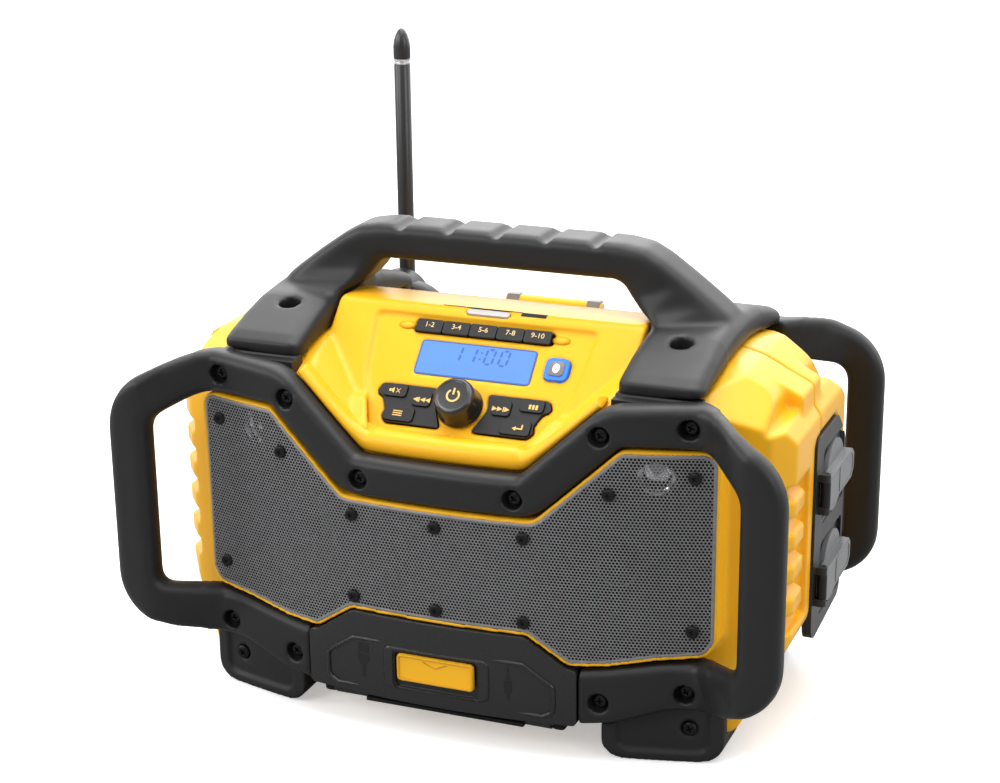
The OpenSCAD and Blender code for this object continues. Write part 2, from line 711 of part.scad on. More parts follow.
// Places a child on the control panel: X across, Y up the slope, Z out of the panel
module on_panel() {
    translate([0, -panel_y, panel_z]) rotate([panel_tilt, 0, 0]) children();
}
module rounded_rect(w, h, r) {
    polygon(round_outline([[-w / 2, -h / 2, r], [w / 2, -h / 2, r], [w / 2, h / 2, r], [-w / 2, h / 2, r]], 22));
}
// Right half of a keypad, clear of the knob
pad_right = [[10.5, -0.2, 1], [47.5, -0.2, 3], [51.4, 4, 2], [50, 8.5, 2], [53.5, 17, 2],
    [59, 20, 2], [56.5, 27, 3], [15.5, 27, 2], [17.6, 16, 4]];
pad_outline = round_outline(pad_right, 30);
module pads() {
    for (s = [0, 1]) mirror([s, 0, 0]) children();
}
knob_v = 15.5;
lcd_v = 48.5;
preset_v = 69.8;
wireless_u = 54.8;
wireless_v = 49;
wireless_s = 15;
recess_outline = round_outline(mirrored([[51, -13, 6], [70.5, 32, 20], [76, 77.5, 4]]), 20);
board_top = -13;

// Panel wall under the recess
module panel_pan() {
    translate([0, 0, -wall]) linear_extrude(wall + 0.5) polygon(inset(recess_outline, -wall));
}
module panel_cuts() {
    // recessed panel face
    linear_extrude(12) polygon(recess_outline);
    // openings for the keypads
    translate([0, 0, -12]) linear_extrude(13) pads() polygon(pad_outline);
    // display opening and its sunk seat
    translate([0, lcd_v, -12]) linear_extrude(13) rounded_rect(lcd_w - 4, lcd_h - 4, 1);
    translate([0, lcd_v, -1.6]) linear_extrude(3) rounded_rect(lcd_w + 2 * fit, lcd_h + 2 * fit, 3);
    // opening for the preset keys
    translate([0, preset_v, -12])
        linear_extrude(13)
            rounded_rect(5 * preset_w + 2.4, preset_h + 2 * fit, 1);
    translate([wireless_u, wireless_v, -12])
        linear_extrude(13)
            rounded_rect(wireless_s + 2 * fit, wireless_s + 2 * fit, 4);
    translate([0, knob_v, -12]) cylinder(d = knob_shaft_d + 1, h = 13);
}

board_u = 62;
board_v1 = 79;
module board_posts() {
    for (s = [-1, 1]) for (v = [34, 62])
        translate([s * (board_u - 5), v, board_top]) cylinder(d = 5, h = -board_top - 1);
}

indicator_w = 29;
indicator_h = 4.4;
indicator_y = -27.4;
indicator_z = 250;
module indicator_shape(grow, z0, z1) {
    translate([0, indicator_y, indicator_z]) rotate([panel_tilt * 0.6, 0, 0])
        translate([0, 0, z0]) linear_extrude(z1 - z0) rounded_rect(indicator_w + 2 * grow, indicator_h + 2 * grow, 2);
}

grille_screw_points = [[0, 145], [0, 90], [57, 145], [57, 90], [108.7, 177.4], [158.5, 190], [158.5, 91.5]];
function plate_face(x) = -plate_y + bow(x, plate_r);

module front_housing() {
    color(yellow)
        difference() {
            union() {
                difference() {
                    union() {
                        body_form(0);
                        plate_form(0);
                    }
                    body_form(wall);
                    plate_form(wall);
                }
                plate_bead();
                bay_form();
                for (s = [0, 1]) mirror([s, 0, 0]) rib_backing();
                outlet_ledge();
                intersection() {
                    union() {
                        on_panel() panel_pan();
                        for (s = [-1, 1]) {
                            on_plate(s * woofer_x, woofer_z) driver_boss(woofer_d, driver_rim);
                            on_plate(s * tweeter_x, tweeter_z) driver_boss(tweeter_d, tweeter_rim);
                        }
                        on_panel() board_posts();
                        main_board_posts();
                    }
                    union() {
                        body_form(1);
                        plate_form(1);
                    }
                }
            }
            translate([-300, 0, -10]) cube([600, 300, 400]);
            bay_hollow();
            for (s = [0, 1]) mirror([s, 0, 0]) rib_pocket();
            for (s = [-1, 1]) {
                on_plate(s * woofer_x, woofer_z) y_cyl(0, 0, -20, 5, woofer_d);
                on_plate(s * tweeter_x, tweeter_z) y_cyl(0, 0, -20, 5, tweeter_d);
                for (p = front_screws) y_cyl(s * p[0], p[1], -150, -60, shank_d + 0.4);
                for (p = grille_screw_points) on_plate(s * p[0], p[1]) y_cyl(0, 0, -8, 12, grille_shank_d + 0.2);
                y_cyl(s * screw_outer_x, foot_screw_z, -110, -70, shank_d + 0.4);
                translate([s * strap_x, -strap_hole_y, 200]) cylinder(d = shank_d + 0.4, h = 60);
            }
            on_panel() panel_cuts();
            indicator_shape(fit, -12, 20);
            bay_ports(fit);
            outlet_cuts();
        }
        door_lugs();
}

// ---------- grille ----------
grille_shank_d = 3;
sheet_gap = 0.3;
sheet_t = 1.2;
module speaker_grille() {
    sheet_outline = inset(plate_outline, bead_w + fit);
    color(charcoal)
        difference() {
            intersection() {
                front_prism(sheet_outline, -150, -80);
                difference() {
                    bow_body(plate_y + sheet_gap + sheet_t, plate_r + sheet_gap + sheet_t);
                    bow_body(plate_y + sheet_gap, plate_r + sheet_gap, -2, 301);
                }
            }
            for (s = [-1, 1]) for (p = grille_screw_points)
                on_plate(s * p[0], p[1]) y_cyl(0, 0, -8, 5, grille_shank_d + 0.3);
        }
}
module grille_screws() {
    color(steel)
        for (i = [0:len(grille_screw_points) - 1]) for (s = i < 2 ? [1] : [-1, 1]) {
            p = grille_screw_points[i];
            on_plate(s * p[0], p[1]) {
                y_cyl(0, 0, -sheet_gap - sheet_t - 1.9, -sheet_gap - sheet_t, grille_head_d);
                y_cyl(0, 0, -sheet_gap - sheet_t - 1, 8, grille_shank_d);
            }
        }
}

// ---------- display and keys ----------
window_t = 1.6;
module lcd_window() {
    color("#1d2022")
        on_panel()
            translate([0, lcd_v, -window_t]) linear_extrude(window_t) rounded_rect(lcd_w, lcd_h, 3);
}
module lcd_module() {
    color("#5d6a52")
        on_panel() {
            translate([0, lcd_v, -6]) linear_extrude(6 - window_t) rounded_rect(lcd_w - 5, lcd_h - 5, 1);
            translate([0, lcd_v, board_top]) linear_extrude(-6 - board_top) rounded_rect(lcd_w - 9, lcd_h - 2, 1);
        }
}
module indicator_lens() {
    color("#3a3d40") indicator_shape(0, 1, 7.6);
}

// Keys of the two keypads: [name, centre u, centre v, width, height]
key_list = [
    ["mute", -46, 22, 15.5, 8.6], ["menu", -39, 6, 19.6, 9.6], ["previous", -26.8, 18, 12, 10],
    ["mode", 46, 22, 15.5, 8.6], ["enter", 39, 6, 19.6, 9.6], ["next", 26.8, 18, 12, 10]];
mat_top = 1.2;
mat_flange = 1.7;
key_rise = 2.4;
key_flange_z = -wall - fit - mat_flange;
key_foot = board_top + 1.2 + key_travel;
module keypad_mat() {
    color(rubber)
        on_panel()
            difference() {
                union() {
                    translate([0, 0, key_flange_z]) linear_extrude(mat_top - key_flange_z)
                        pads() polygon(inset(pad_outline, fit));
                    translate([0, 0, key_flange_z]) linear_extrude(mat_flange) {
                        pads() polygon(inset(pad_outline, -1.4));
                        translate([-14, 0]) square([28, 5]);
                    }
                }
                for (k = key_list) translate([k[1], k[2], -20]) linear_extrude(40)
                    rounded_rect(k[3] + 2 * fit, k[4] + 2 * fit, 2.5);
            }
}
module pad_key(i) {
    k = key_list[i];
    color(charcoal)
        on_panel()
            translate([k[1], k[2], 0]) {
                translate([0, 0, key_foot]) linear_extrude(key_rise - key_foot) rounded_rect(k[3], k[4], 2.2);
                translate([0, 0, key_flange_z - fit - 1.5]) linear_extrude(1.5) rounded_rect(k[3] + 2, k[4] + 2, 2.5);
            }
}
module key_mute() { pad_key(0); }
module key_menu() { pad_key(1); }
module key_previous() { pad_key(2); }
module key_mode() { pad_key(3); }
module key_enter() { pad_key(4); }
module key_next() { pad_key(5); }

preset_rise = 2.2;
module preset_key(k) {
    color(rubber)
        on_panel()
            translate([(k - 3) * preset_w, preset_v, 0]) {
                translate([0, 0, key_foot]) linear_extrude(preset_rise - key_foot)
                    rounded_rect(preset_w - 2 * fit, preset_h, 1.2);
                translate([0, 0, -wall - fit - 1.5]) linear_extrude(1.5)
                    rounded_rect(preset_w - 2 * fit, preset_h + 3, 1);
            }
}
module preset_key_1() { preset_key(1); }
module preset_key_2() { preset_key(2); }
module preset_key_3() { preset_key(3); }
module preset_key_4() { preset_key(4); }
module preset_key_5() { preset_key(5); }

module wireless_button() {
    color(rubber)
        on_panel()
            translate([wireless_u, wireless_v, 0]) {
                translate([0, 0, key_foot]) linear_extrude(2 - key_foot) rounded_rect(wireless_s, wireless_s, 3.6);
                translate([0, 0, -wall - fit - 1.5]) linear_extrude(1.5)
                    rounded_rect(wireless_s + 3, wireless_s + 3, 4);
            }
}

// ---------- volume control ----------
knob_z0 = 1.5;
push_travel = 0.6;
encoder_s = 12.4;
encoder_top = -6;
plunger_z0 = board_top + 0.9 + push_travel;
module volume_knob() {
    color(rubber)
        on_panel() translate([0, knob_v, 0])
            difference() {
                union() {
                    translate([0, 0, knob_z0]) cylinder(d = knob_d + 2, h = 3);
                    translate([0, 0, knob_z0]) cylinder(d = knob_d, h = knob_h - 2);
                    translate([0, 0, knob_z0]) cylinder(d = knob_d - 4, h = knob_h);
                }
                translate([0, 0, knob_z0 - 1]) cylinder(d = knob_shaft_d + 2 * run, h = knob_h - 3);
                translate([0, 0, knob_z0 - 1])
                    difference() {
                        cylinder(d = knob_d - 5, h = knob_h - 5);
                        cylinder(d = knob_shaft_d + 5, h = knob_h);
                    }
            }
}
module encoder_plunger() {
    color(steel)
        on_panel() translate([0, knob_v, plunger_z0])
            cylinder(d = knob_shaft_d, h = knob_z0 + knob_h - 4.4 - plunger_z0);
}
module encoder_body() {
    color(steel)
        on_panel() translate([0, knob_v, 0])
            difference() {
                translate([-encoder_s / 2, -encoder_s / 2, board_top])
                    cube([encoder_s, encoder_s, encoder_top - board_top]);
                translate([0, 0, board_top + 0.6]) cylinder(d = knob_shaft_d + 2 * run, h = 20);
            }
}

// ---------- circuit boards ----------
pcb = "#2d5b3a";
module control_board() {
    color(pcb)
        on_panel()
            translate([0, (board_v1 + 1) / 2, board_top - board_t])
                linear_extrude(board_t)
                    rounded_rect(2 * board_u, board_v1 - 1, 2);
}
main_board_z = bay_z1 + bay_wall + 7;
module main_board_posts() {
    for (x = [-56, 56]) for (y = [-93, -58])
        translate([x, y, bay_z1 + bay_wall - 1]) cylinder(d = 6, h = main_board_z - bay_z1 - bay_wall + 1);
}
module main_board() {
    color(pcb) {
        translate([-62, -98, main_board_z]) cube([124, 46, board_t]);
        translate([-20, -90, main_board_z + board_t]) cube([18, 18, 2]);
        translate([20, -84, main_board_z + board_t]) cube([24, 14, 12]);
        translate([-48, -80, main_board_z + board_t]) cylinder(d = 12, h = 16);
    }
}
supply_z = 25;
module supply_posts() {
    for (x = [-46, 46]) for (y = [16, 78])
        translate([x, y, floor_z + wall - 1]) cylinder(d = 7, h = supply_z - floor_z - wall + 1);
}
module power_supply() {
    color(pcb) {
        translate([-52, 10, supply_z]) cube([104, 74, board_t]);
        translate([-34, 24, supply_z + board_t]) cube([36, 34, 28]);
        translate([18, 30, supply_z + board_t]) cylinder(d = 20, h = 26);
    }
}

// ---------- loudspeakers ----------
module woofer() {
    r = woofer_d / 2;
    translate([0, driver_seat, 0]) rotate([-90, 0, 0])
        rotate_extrude()
            polygon([[0, 8], [11, 10], [14, 15], [r - 7, 2.6], [r - 3, 1.4], [r, 0], [r + driver_rim - 1.5, 0],
                [r + driver_rim - 1.5, 2.5], [r, 3], [r - 14, 22], [28, 24], [28, 40], [0, 40]]);
}
module tweeter() {
    r = tweeter_d / 2;
    translate([0, driver_seat, 0]) rotate([-90, 0, 0])
        rotate_extrude()
            polygon([[0, 1], [r - 3, 3], [r - 1, 0], [r + tweeter_rim - 1.5, 0],
                [r + tweeter_rim - 1.5, 2.5], [r, 3], [r, 16], [0, 16]]);
}
module woofer_left() { color(charcoal) on_plate(-woofer_x, woofer_z) woofer(); }
module woofer_right() { color(charcoal) on_plate(woofer_x, woofer_z) woofer(); }
module tweeter_left() { color(charcoal) on_plate(-tweeter_x, tweeter_z) tweeter(); }
module tweeter_right() { color(charcoal) on_plate(tweeter_x, tweeter_z) tweeter(); }

// ---------- device bay door ----------
hinge_y = -(frame_y - door_t);
hinge_z = 22;
hinge_r = 4;
door_wall = 2.6;
door_knuckle = [46, 74];
lug_len = 8;
latch_z0 = 40;
latch_face = -frame_y - 0.5;
catch_w = 16;
module door_lugs() {
    for (s = [0, 1]) mirror([s, 0, 0])
        for (x = [door_knuckle[0] - fit - lug_len, door_knuckle[1] + fit])
            difference() {
                union() {
                    x_cyl(x, x + lug_len, hinge_y, hinge_z, 2 * hinge_r);
                    translate([x, hinge_y, hinge_z - hinge_r]) cube([lug_len, -hinge_y - 91, 2 * hinge_r - 2.5]);
                }
                x_cyl(x - 1, x + lug_len + 1, hinge_y, hinge_z, pin_d + 0.02);
            }
}
module device_door_pin() {
    color(steel)
        for (s = [0, 1]) mirror([s, 0, 0])
            x_cyl(door_knuckle[0] - fit - lug_len + 1, door_knuckle[1] + fit + lug_len - 1, hinge_y, hinge_z, pin_d);
}
module door_knuckle_clear(grow) {
    for (s = [0, 1]) mirror([s, 0, 0])
        for (x = [door_knuckle[0] - fit - lug_len, door_knuckle[1] + fit])
            x_cyl(x - grow, x + lug_len + grow, hinge_y, hinge_z, 2 * hinge_r + 2 * grow);
}
module device_door() {
    color(charcoal)
        difference() {
            union() {
                difference() {
                    intersection() {
                        front_prism(door_outline, -150, -90);
                        bow_body(frame_y, bow_r);
                    }
                    bow_body(frame_y - door_t, bow_r, -2, 301);
                    intersection() {
                        front_prism(inset(door_outline, door_wall), -150, -90);
                        bow_body(frame_y - door_wall, bow_r, -2, 301);
                        difference() {
                            translate([-200, -150, 0]) cube([400, 100, 100]);
                            translate([-latch_w / 2 - 3, -150, latch_z0 - 8])
                                cube([latch_w + 6, 100, latch_h + 14]);
                        }
                    }
                }
                for (s = [0, 1]) mirror([s, 0, 0]) {
                    x_cyl(door_knuckle[0], door_knuckle[1], hinge_y, hinge_z, 2 * hinge_r);
                    translate([door_knuckle[0], hinge_y - 6, hinge_z])
                        cube([door_knuckle[1] - door_knuckle[0], 6, 6]);
                }
            }
            door_knuckle_clear(0.5);
            for (s = [0, 1]) mirror([s, 0, 0])
                x_cyl(door_knuckle[0] - 1, door_knuckle[1] + 1, hinge_y, hinge_z, pin_d + 2 * run);
            // sunk face round the latch
            translate([0, latch_face, 0])
                front_prism(round_outline([
                    [-latch_w / 2 - 2, latch_z0 - latch_travel - 2, 3],
                    [latch_w / 2 + 2, latch_z0 - latch_travel - 2, 3],
                    [latch_w / 2 + 2, latch_z0 + latch_h + 1, 3],
                    [-latch_w / 2 - 2, latch_z0 + latch_h + 1, 3]]), -30, 3 + fit);
            translate([-catch_w / 2 - fit, -140, latch_z0 + 6 - latch_travel - fit])
                cube([catch_w + 2 * fit, 40, latch_h - 8 + latch_travel + 2 * fit]);
        }
}
module device_door_latch() {
    color(yellow) {
        front_prism(round_outline([[-latch_w / 2, latch_z0, 2.5], [latch_w / 2, latch_z0, 2.5],
            [latch_w / 2, latch_z0 + latch_h, 2.5], [-latch_w / 2, latch_z0 + latch_h, 2.5]]), latch_face, latch_face + 3);
        translate([-catch_w / 2, latch_face + 3, latch_z0 + 6]) cube([catch_w, 14, latch_h - 8]);
        translate([-catch_w / 2, hinge_y + 3, latch_z0 + 6]) cube([catch_w, 5, bay_z1 - latch_z0 - 6 - 0.6]);
    }
}

// Sockets in the back wall of the device bay
port_x = 30;
port_z = 50;
module bay_ports(grow) {
    y = -bay_back - 1;
    translate([-port_x - 7 - grow, y, port_z - 3.5 - grow]) cube([14 + 2 * grow, 30, 7 + 2 * grow]);
    y_cyl(port_x, port_z, y, y + 30, 8 + 2 * grow);
}
module usb_port() {
    color(steel)
        difference() {
            translate([-port_x - 7, -bay_back, port_z - 3.5]) cube([14, 14, 7]);
            translate([-port_x - 5.8, -bay_back - 1, port_z - 2.3]) cube([11.6, 11, 4.6]);
        }
}
module aux_jack() {
    color(steel)
        difference() {
            y_cyl(port_x, port_z, -bay_back, -bay_back + 14, 8);
            y_cyl(port_x, port_z, -bay_back - 1, -bay_back + 11, 3.6);
        }
}

// ---------- battery bay, door and latch ----------
bdoor_y = 101;
bdoor_t = 12;
bpin_y = bdoor_y + bdoor_t / 2;
bpin_z = bdoor_z0 + bdoor_t / 2;
bay_inner_x = bdoor_x - 4;
bbay_front = 42;
bbay_z0 = bdoor_z0 + bdoor_t + 3;
bbay_z1 = bdoor_z1 - 8;
collar = 4;
bknuckle = [34, 46];
module battery_bay_form() {
    intersection() {
        translate([-bdoor_x - collar, bbay_front - 2, bdoor_z0 - 0.4])
            cube([2 * (bdoor_x + collar), bdoor_y + bdoor_t - 3 - bbay_front + 2, bdoor_z1 - bdoor_z0 + collar + 0.4]);
        union() {
            translate([-200, 0, bbay_z0 - 2]) cube([400, 200, 300]);
            translate([-200, bdoor_y - fit - 8, bdoor_z0 - 0.4]) cube([400, 200, 300]);
        }
    }
}
module battery_bay_hollow() {
    translate([-bay_inner_x, bbay_front, bbay_z0]) cube([2 * bay_inner_x, 200, bbay_z1 - bbay_z0]);
    translate([-bdoor_x - fit, bdoor_y - fit, bdoor_z0 - 0.5])
        cube([2 * (bdoor_x + fit), 100, bdoor_z1 + fit - bdoor_z0 + 0.5]);
}
module battery_lugs() {
    for (s = [0, 1]) mirror([s, 0, 0])
        difference() {
            union() {
                x_cyl(bknuckle[0] + 0.4, bknuckle[1] - 0.4, bpin_y, bpin_z, bdoor_t - 2);
                translate([bknuckle[0] + 0.4, bdoor_y - fit - 1, bpin_z - 5])
                    cube([bknuckle[1] - bknuckle[0] - 0.8, bdoor_t / 2 + 1, 10]);
            }
            x_cyl(0, 100, bpin_y, bpin_z, pin_d + 0.02);
        }
}
module battery_door() {
    color(charcoal)
        difference() {
            union() {
                translate([-bdoor_x, bdoor_y, bpin_z]) cube([2 * bdoor_x, bdoor_t, bdoor_z1 - bpin_z]);
                x_cyl(-bdoor_x, bdoor_x, bpin_y, bpin_z, bdoor_t);
            }
            translate([-bdoor_x + 3, bdoor_y - 1, bpin_z + 10])
                cube([2 * bdoor_x - 6, bdoor_t - 2, bdoor_z1 - bpin_z - 13]);
            for (s = [0, 1]) mirror([s, 0, 0])
                translate([bknuckle[0], bdoor_y - 1, bdoor_z0 - 1])
                    cube([bknuckle[1] - bknuckle[0], bdoor_t + 2, bdoor_t + 2]);
            x_cyl(-bdoor_x - 1, bdoor_x + 1, bpin_y, bpin_z, pin_d + 2 * run);
        }
}
module battery_door_pin() {
    color(steel)
        x_cyl(-bdoor_x + 2, bdoor_x - 2, bpin_y, bpin_z, pin_d);
}

latch_y = 88;
latch_z = shelf_z + 4.5;
latch_r = 4.2;
latch_half = 31;
ear_t = 4;
module latch_ears() {
    for (s = [0, 1]) mirror([s, 0, 0])
        difference() {
            union() {
                x_cyl(latch_half + fit, latch_half + fit + ear_t, latch_y, latch_z, 2 * latch_r);
                translate([latch_half + fit, latch_y - latch_r, shelf_z - 1])
                    cube([ear_t, 2 * latch_r, latch_z - shelf_z + 1]);
            }
            x_cyl(0, 60, latch_y, latch_z, pin_d + 0.02);
        }
}
module battery_door_latch() {
    color(yellow)
        difference() {
            union() {
                x_cyl(-latch_half, latch_half, latch_y, latch_z, 2 * latch_r);
                side_prism([
                    [latch_y, latch_z - 1], [bdoor_y + 2, latch_z - 8.5], [bdoor_y + 2, bdoor_z1 + 0.6],
                    [bdoor_y + bdoor_t - 2, bdoor_z1 + 0.6], [bdoor_y + bdoor_t - 2, latch_z - 8],
                    [bdoor_y + 6, latch_z - 5.5], [latch_y, latch_z + latch_r - 0.4]], -24, 24);
            }
            x_cyl(-60, 60, latch_y, latch_z, pin_d + 2 * run);
        }
}
module latch_pin() {
    color(steel)
        x_cyl(-latch_half - fit - ear_t + 0.5, latch_half + fit + ear_t - 0.5, latch_y, latch_z, pin_d);
}
module battery_terminals() {
    color(charcoal) {
        translate([-24, bbay_front, 150]) cube([48, 9, 36]);
        for (x = [-16, 0, 16]) translate([x - 0.6, bbay_front + 9, 154]) cube([1.2, 8, 28]);
    }
}

// ---------- rear shell ----------
gland_x = 148;
gland_z = 112;
gland_d = 16;
module rear_housing() {
    color(yellow)
        difference() {
            union() {
                difference() {
                    union() {
                        body_form(0);
                        battery_bay_form();
                    }
                    difference() {
                        body_form(wall);
                        battery_bay_form();
                    }
                }
                intersection() {
                    supply_posts();
                    body_form(1);
                }
                latch_ears();
                battery_lugs();
                outlet_ledge();
            }
            translate([-300, -300, -10]) cube([600, 300 + shell_gap, 400]);
            battery_bay_cut();
            for (s = [-1, 1]) {
                for (p = rear_screws) y_cyl(s * p[0], p[1], 60, 150, shank_d + 0.4);
                y_cyl(s * screw_outer_x, foot_screw_z, 70, 110, shank_d + 0.4);
                translate([s * strap_x, strap_hole_y, 200]) cylinder(d = shank_d + 0.4, h = 60);
            }
            outlet_cuts();
            y_cyl(gland_x, gland_z, 60, 120, gland_d + 2 * fit);
            latch_clear();
        }
}
shell_gap = 0.1;
module battery_bay_cut() {
    difference() {
        battery_bay_hollow();
        battery_lugs();
    }
}
// Room for the latch where it swings over the edge of the bay
module latch_clear() {
    translate([-24 - 0.6, latch_y + latch_r, bdoor_z1 - 0.5]) cube([49.2, 60, 60]);
}
module mains_gland() {
    color(rubber)
        difference() {
            union() {
                y_cyl(gland_x, gland_z, 76, 95, gland_d);
                y_cyl(gland_x, gland_z, 92, 100, gland_d + 6);
            }
            y_cyl(gland_x, gland_z, 70, 110, 8.4);
            mirror([0, 1, 0]) bow_cut();
        }
}
module bow_cut() {
    intersection() {
        bow_body(body_y + fit, bow_r, 0, 300);
        difference() {
            translate([gland_x - 20, -130, gland_z - 20]) cube([40, 60, 40]);
            y_cyl(gland_x, gland_z, -140, -50, gland_d);
        }
    }
}

// ---------- outlets ----------
panel_x1 = end_x + 1.5;
panel_x0 = panel_x1 - 6;
panel_y0 = -12.5;
panel_z0 = 53.5;
socket_y = 33.5;
socket_z = panel_z0 + panel_h / 2 - 0.2;
socket_pitch = panel_h - 74.6;
socket_wall = 2.4;
socket_face = panel_x1 - socket_sink;
panel_outline = round_outline([[panel_y0, panel_z0, 10], [panel_y0 + panel_d, panel_z0 + 6, 10],
    [panel_y0 + panel_d, panel_z0 + panel_h - 20, 14],
    [panel_y0 + panel_d - 22, panel_z0 + panel_h, 10], [panel_y0, panel_z0 + panel_h, 8]]);
function socket_height(k) = socket_z + k * socket_pitch / 2;
module outlet_cuts() {
    side_prism(inset(panel_outline, -fit), panel_x0, 300);
    side_prism(inset(panel_outline, 5), panel_x0 - 30, 300);
}
// Ledge inside the shells that the panel lies on
module outlet_ledge() {
    intersection() {
        body_form(1);
        side_prism(inset(panel_outline, -4), panel_x0 - wall, end_x);
    }
}
module outlet_panel() {
    color(charcoal)
        difference() {
            union() {
                side_prism(panel_outline, panel_x0, panel_x1);
                for (k = [-1, 1]) for (z = [-lid_knuckle - fit - 5, lid_knuckle + fit]) {
                    translate([panel_x1 - 1, lid_y - 3, socket_height(k) + z])
                        cube([lid_x - panel_x1 + 1, 6, 5]);
                    translate([lid_x, lid_y, socket_height(k) + z]) cylinder(d = 6, h = 5);
                }
            }
            for (k = [-1, 1]) {
                translate([socket_face, socket_y, socket_height(k)]) rotate([90, 0, 90])
                    linear_extrude(10) rounded_rect(lid_d + 9, lid_d + 3, 4);
                x_cyl(panel_x0 - 1, panel_x1 + 1, socket_y, socket_height(k), socket_d + 2 * socket_wall + 2 * fit);
                translate([lid_x, lid_y, socket_height(k) - 30]) cylinder(d = lid_pin_d + 0.02, h = 60);
            }
        }
}
module outlet(k) {
    color(charcoal)
        difference() {
            union() {
                x_cyl(socket_face - socket_depth - 2.4, socket_face, socket_y, socket_height(k), socket_d + 2 * socket_wall);
                x_cyl(panel_x0 - 2.3, panel_x0, socket_y, socket_height(k), socket_d + 2 * socket_wall + 3);
            }
            x_cyl(socket_face - socket_depth, panel_x1 + 1, socket_y, socket_height(k), socket_d);
            for (s = [-1, 1])
                translate([socket_face - socket_depth - 5, socket_y + s * 6.4 - 1, socket_height(k) + 1])
                    cube([6, 2, 7]);
            x_cyl(socket_face - socket_depth - 5, panel_x1, socket_y, socket_height(k) - 8, 5);
        }
}
module outlet_upper() { outlet(1); }
module outlet_lower() { outlet(-1); }

lid_x = panel_x1 + 4;
lid_y = -3.5;
lid_d = 47;
lid_t = 3.4;
lid_knuckle = 8;
lid_pin_d = 2.4;
lid_strap = 10;        // half height of the stiffening plate across a lid
module outlet_lid(k) {
    color(charcoal)
        translate([0, 0, socket_height(k)])
            difference() {
                union() {
                    x_cyl(socket_face + fit, socket_face + fit + lid_t, socket_y, 0, lid_d);
                    translate([panel_x1 + fit, lid_y, -lid_knuckle]) cube([6, 10, 2 * lid_knuckle]);
                    side_prism(round_outline([[lid_y + 3.7, -lid_strap, 1], [lid_y + 62, -lid_strap, 3],
                        [lid_y + 68, -lid_strap + 5, 2], [lid_y + 68, lid_strap - 5, 2],
                        [lid_y + 62, lid_strap, 3], [lid_y + 3.7, lid_strap, 1]]), panel_x1 + fit, panel_x1 + fit + 6);
                    translate([lid_x, lid_y, -lid_knuckle]) cylinder(d = 6, h = 2 * lid_knuckle);
                }
                translate([lid_x, lid_y, -lid_knuckle - 1]) cylinder(d = lid_pin_d + 2 * run, h = 2 * lid_knuckle + 2);
            }
}
module outlet_lid_upper() { outlet_lid(1); }
module outlet_lid_lower() { outlet_lid(-1); }
module outlet_lid_pins() {
    color(steel)
        for (k = [-1, 1])
            translate([lid_x, lid_y, socket_height(k) - lid_knuckle - fit - 4.5])
                cylinder(d = lid_pin_d, h = 2 * (lid_knuckle + fit + 4.5));
}

// ---------- antenna ----------
ant_pin_d = 5;
ant_ring_z = ant_top - 25;
knuckle_r = 9.5;
module antenna_base() {
    color(charcoal) {
        y_cyl(-ant_x, ant_z, ant_boss_y, ant_boss_y + ant_boss_t, ant_boss_d);
        y_cyl(-ant_x, ant_z, ant_boss_y + 1, ant_y + ant_d / 2 + 1.6, ant_pin_d);
        y_cyl(-ant_x, ant_z, ant_y + ant_d / 2 + fit, ant_y + ant_d / 2 + 1.6, 9);
    }
}
module antenna_mast() {
    color(rubber)
        difference() {
            union() {
                y_cyl(-ant_x, ant_z, ant_y - ant_d / 2 + 0.3, ant_y + ant_d / 2 - 0.3, 2 * knuckle_r);
                translate([-ant_x, ant_y, ant_z]) cylinder(d = ant_d, h = ant_ring_z - ant_z);
            }
            y_cyl(-ant_x, ant_z, ant_y - 20, ant_y + 20, ant_pin_d + 2 * run);
        }
}
module antenna_tip() {
    color(rubber)
        translate([-ant_x, ant_y, ant_ring_z]) {
            cylinder(d = ant_d + 1, h = 2.4);
            translate([0, 0, 2.4])
                rotate_extrude()
                    polygon([[0, 0], [ant_d / 2, 0], [ant_d / 2, 10], [ant_d / 2 - 0.8, 15.5], [ant_d / 2 - 2.6, 19.5],
                        [ant_d / 2 - 4.2, 21.6], [0, ant_top - ant_ring_z - 2.4]]);
        }
}

front_frame();
rear_frame();
handle();
frame_screws();
handle_screws();
foot_front_left();
foot_front_right();
foot_rear_left();
foot_rear_right();
front_housing();
rear_housing();
speaker_grille();
grille_screws();
lcd_window();
lcd_module();
indicator_lens();
keypad_mat();
key_mute();
key_menu();
key_previous();
key_mode();
key_enter();
key_next();
preset_key_1();
preset_key_2();
preset_key_3();
preset_key_4();
preset_key_5();
wireless_button();
volume_knob();
encoder_plunger();
encoder_body();
control_board();
main_board();
power_supply();
woofer_left();
woofer_right();
tweeter_left();
tweeter_right();
device_door();
device_door_pin();
device_door_latch();
usb_port();
aux_jack();
battery_door();
battery_door_pin();
battery_door_latch();
latch_pin();
battery_terminals();
outlet_panel();
outlet_upper();
outlet_lower();
outlet_lid_upper();
outlet_lid_lower();
outlet_lid_pins();
antenna_base();
antenna_mast();
antenna_tip();
mains_gland();
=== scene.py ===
import bmesh
import bpy
import json
import math
import numpy as np
from mathutils import Matrix, Vector
from mathutils.bvhtree import BVHTree

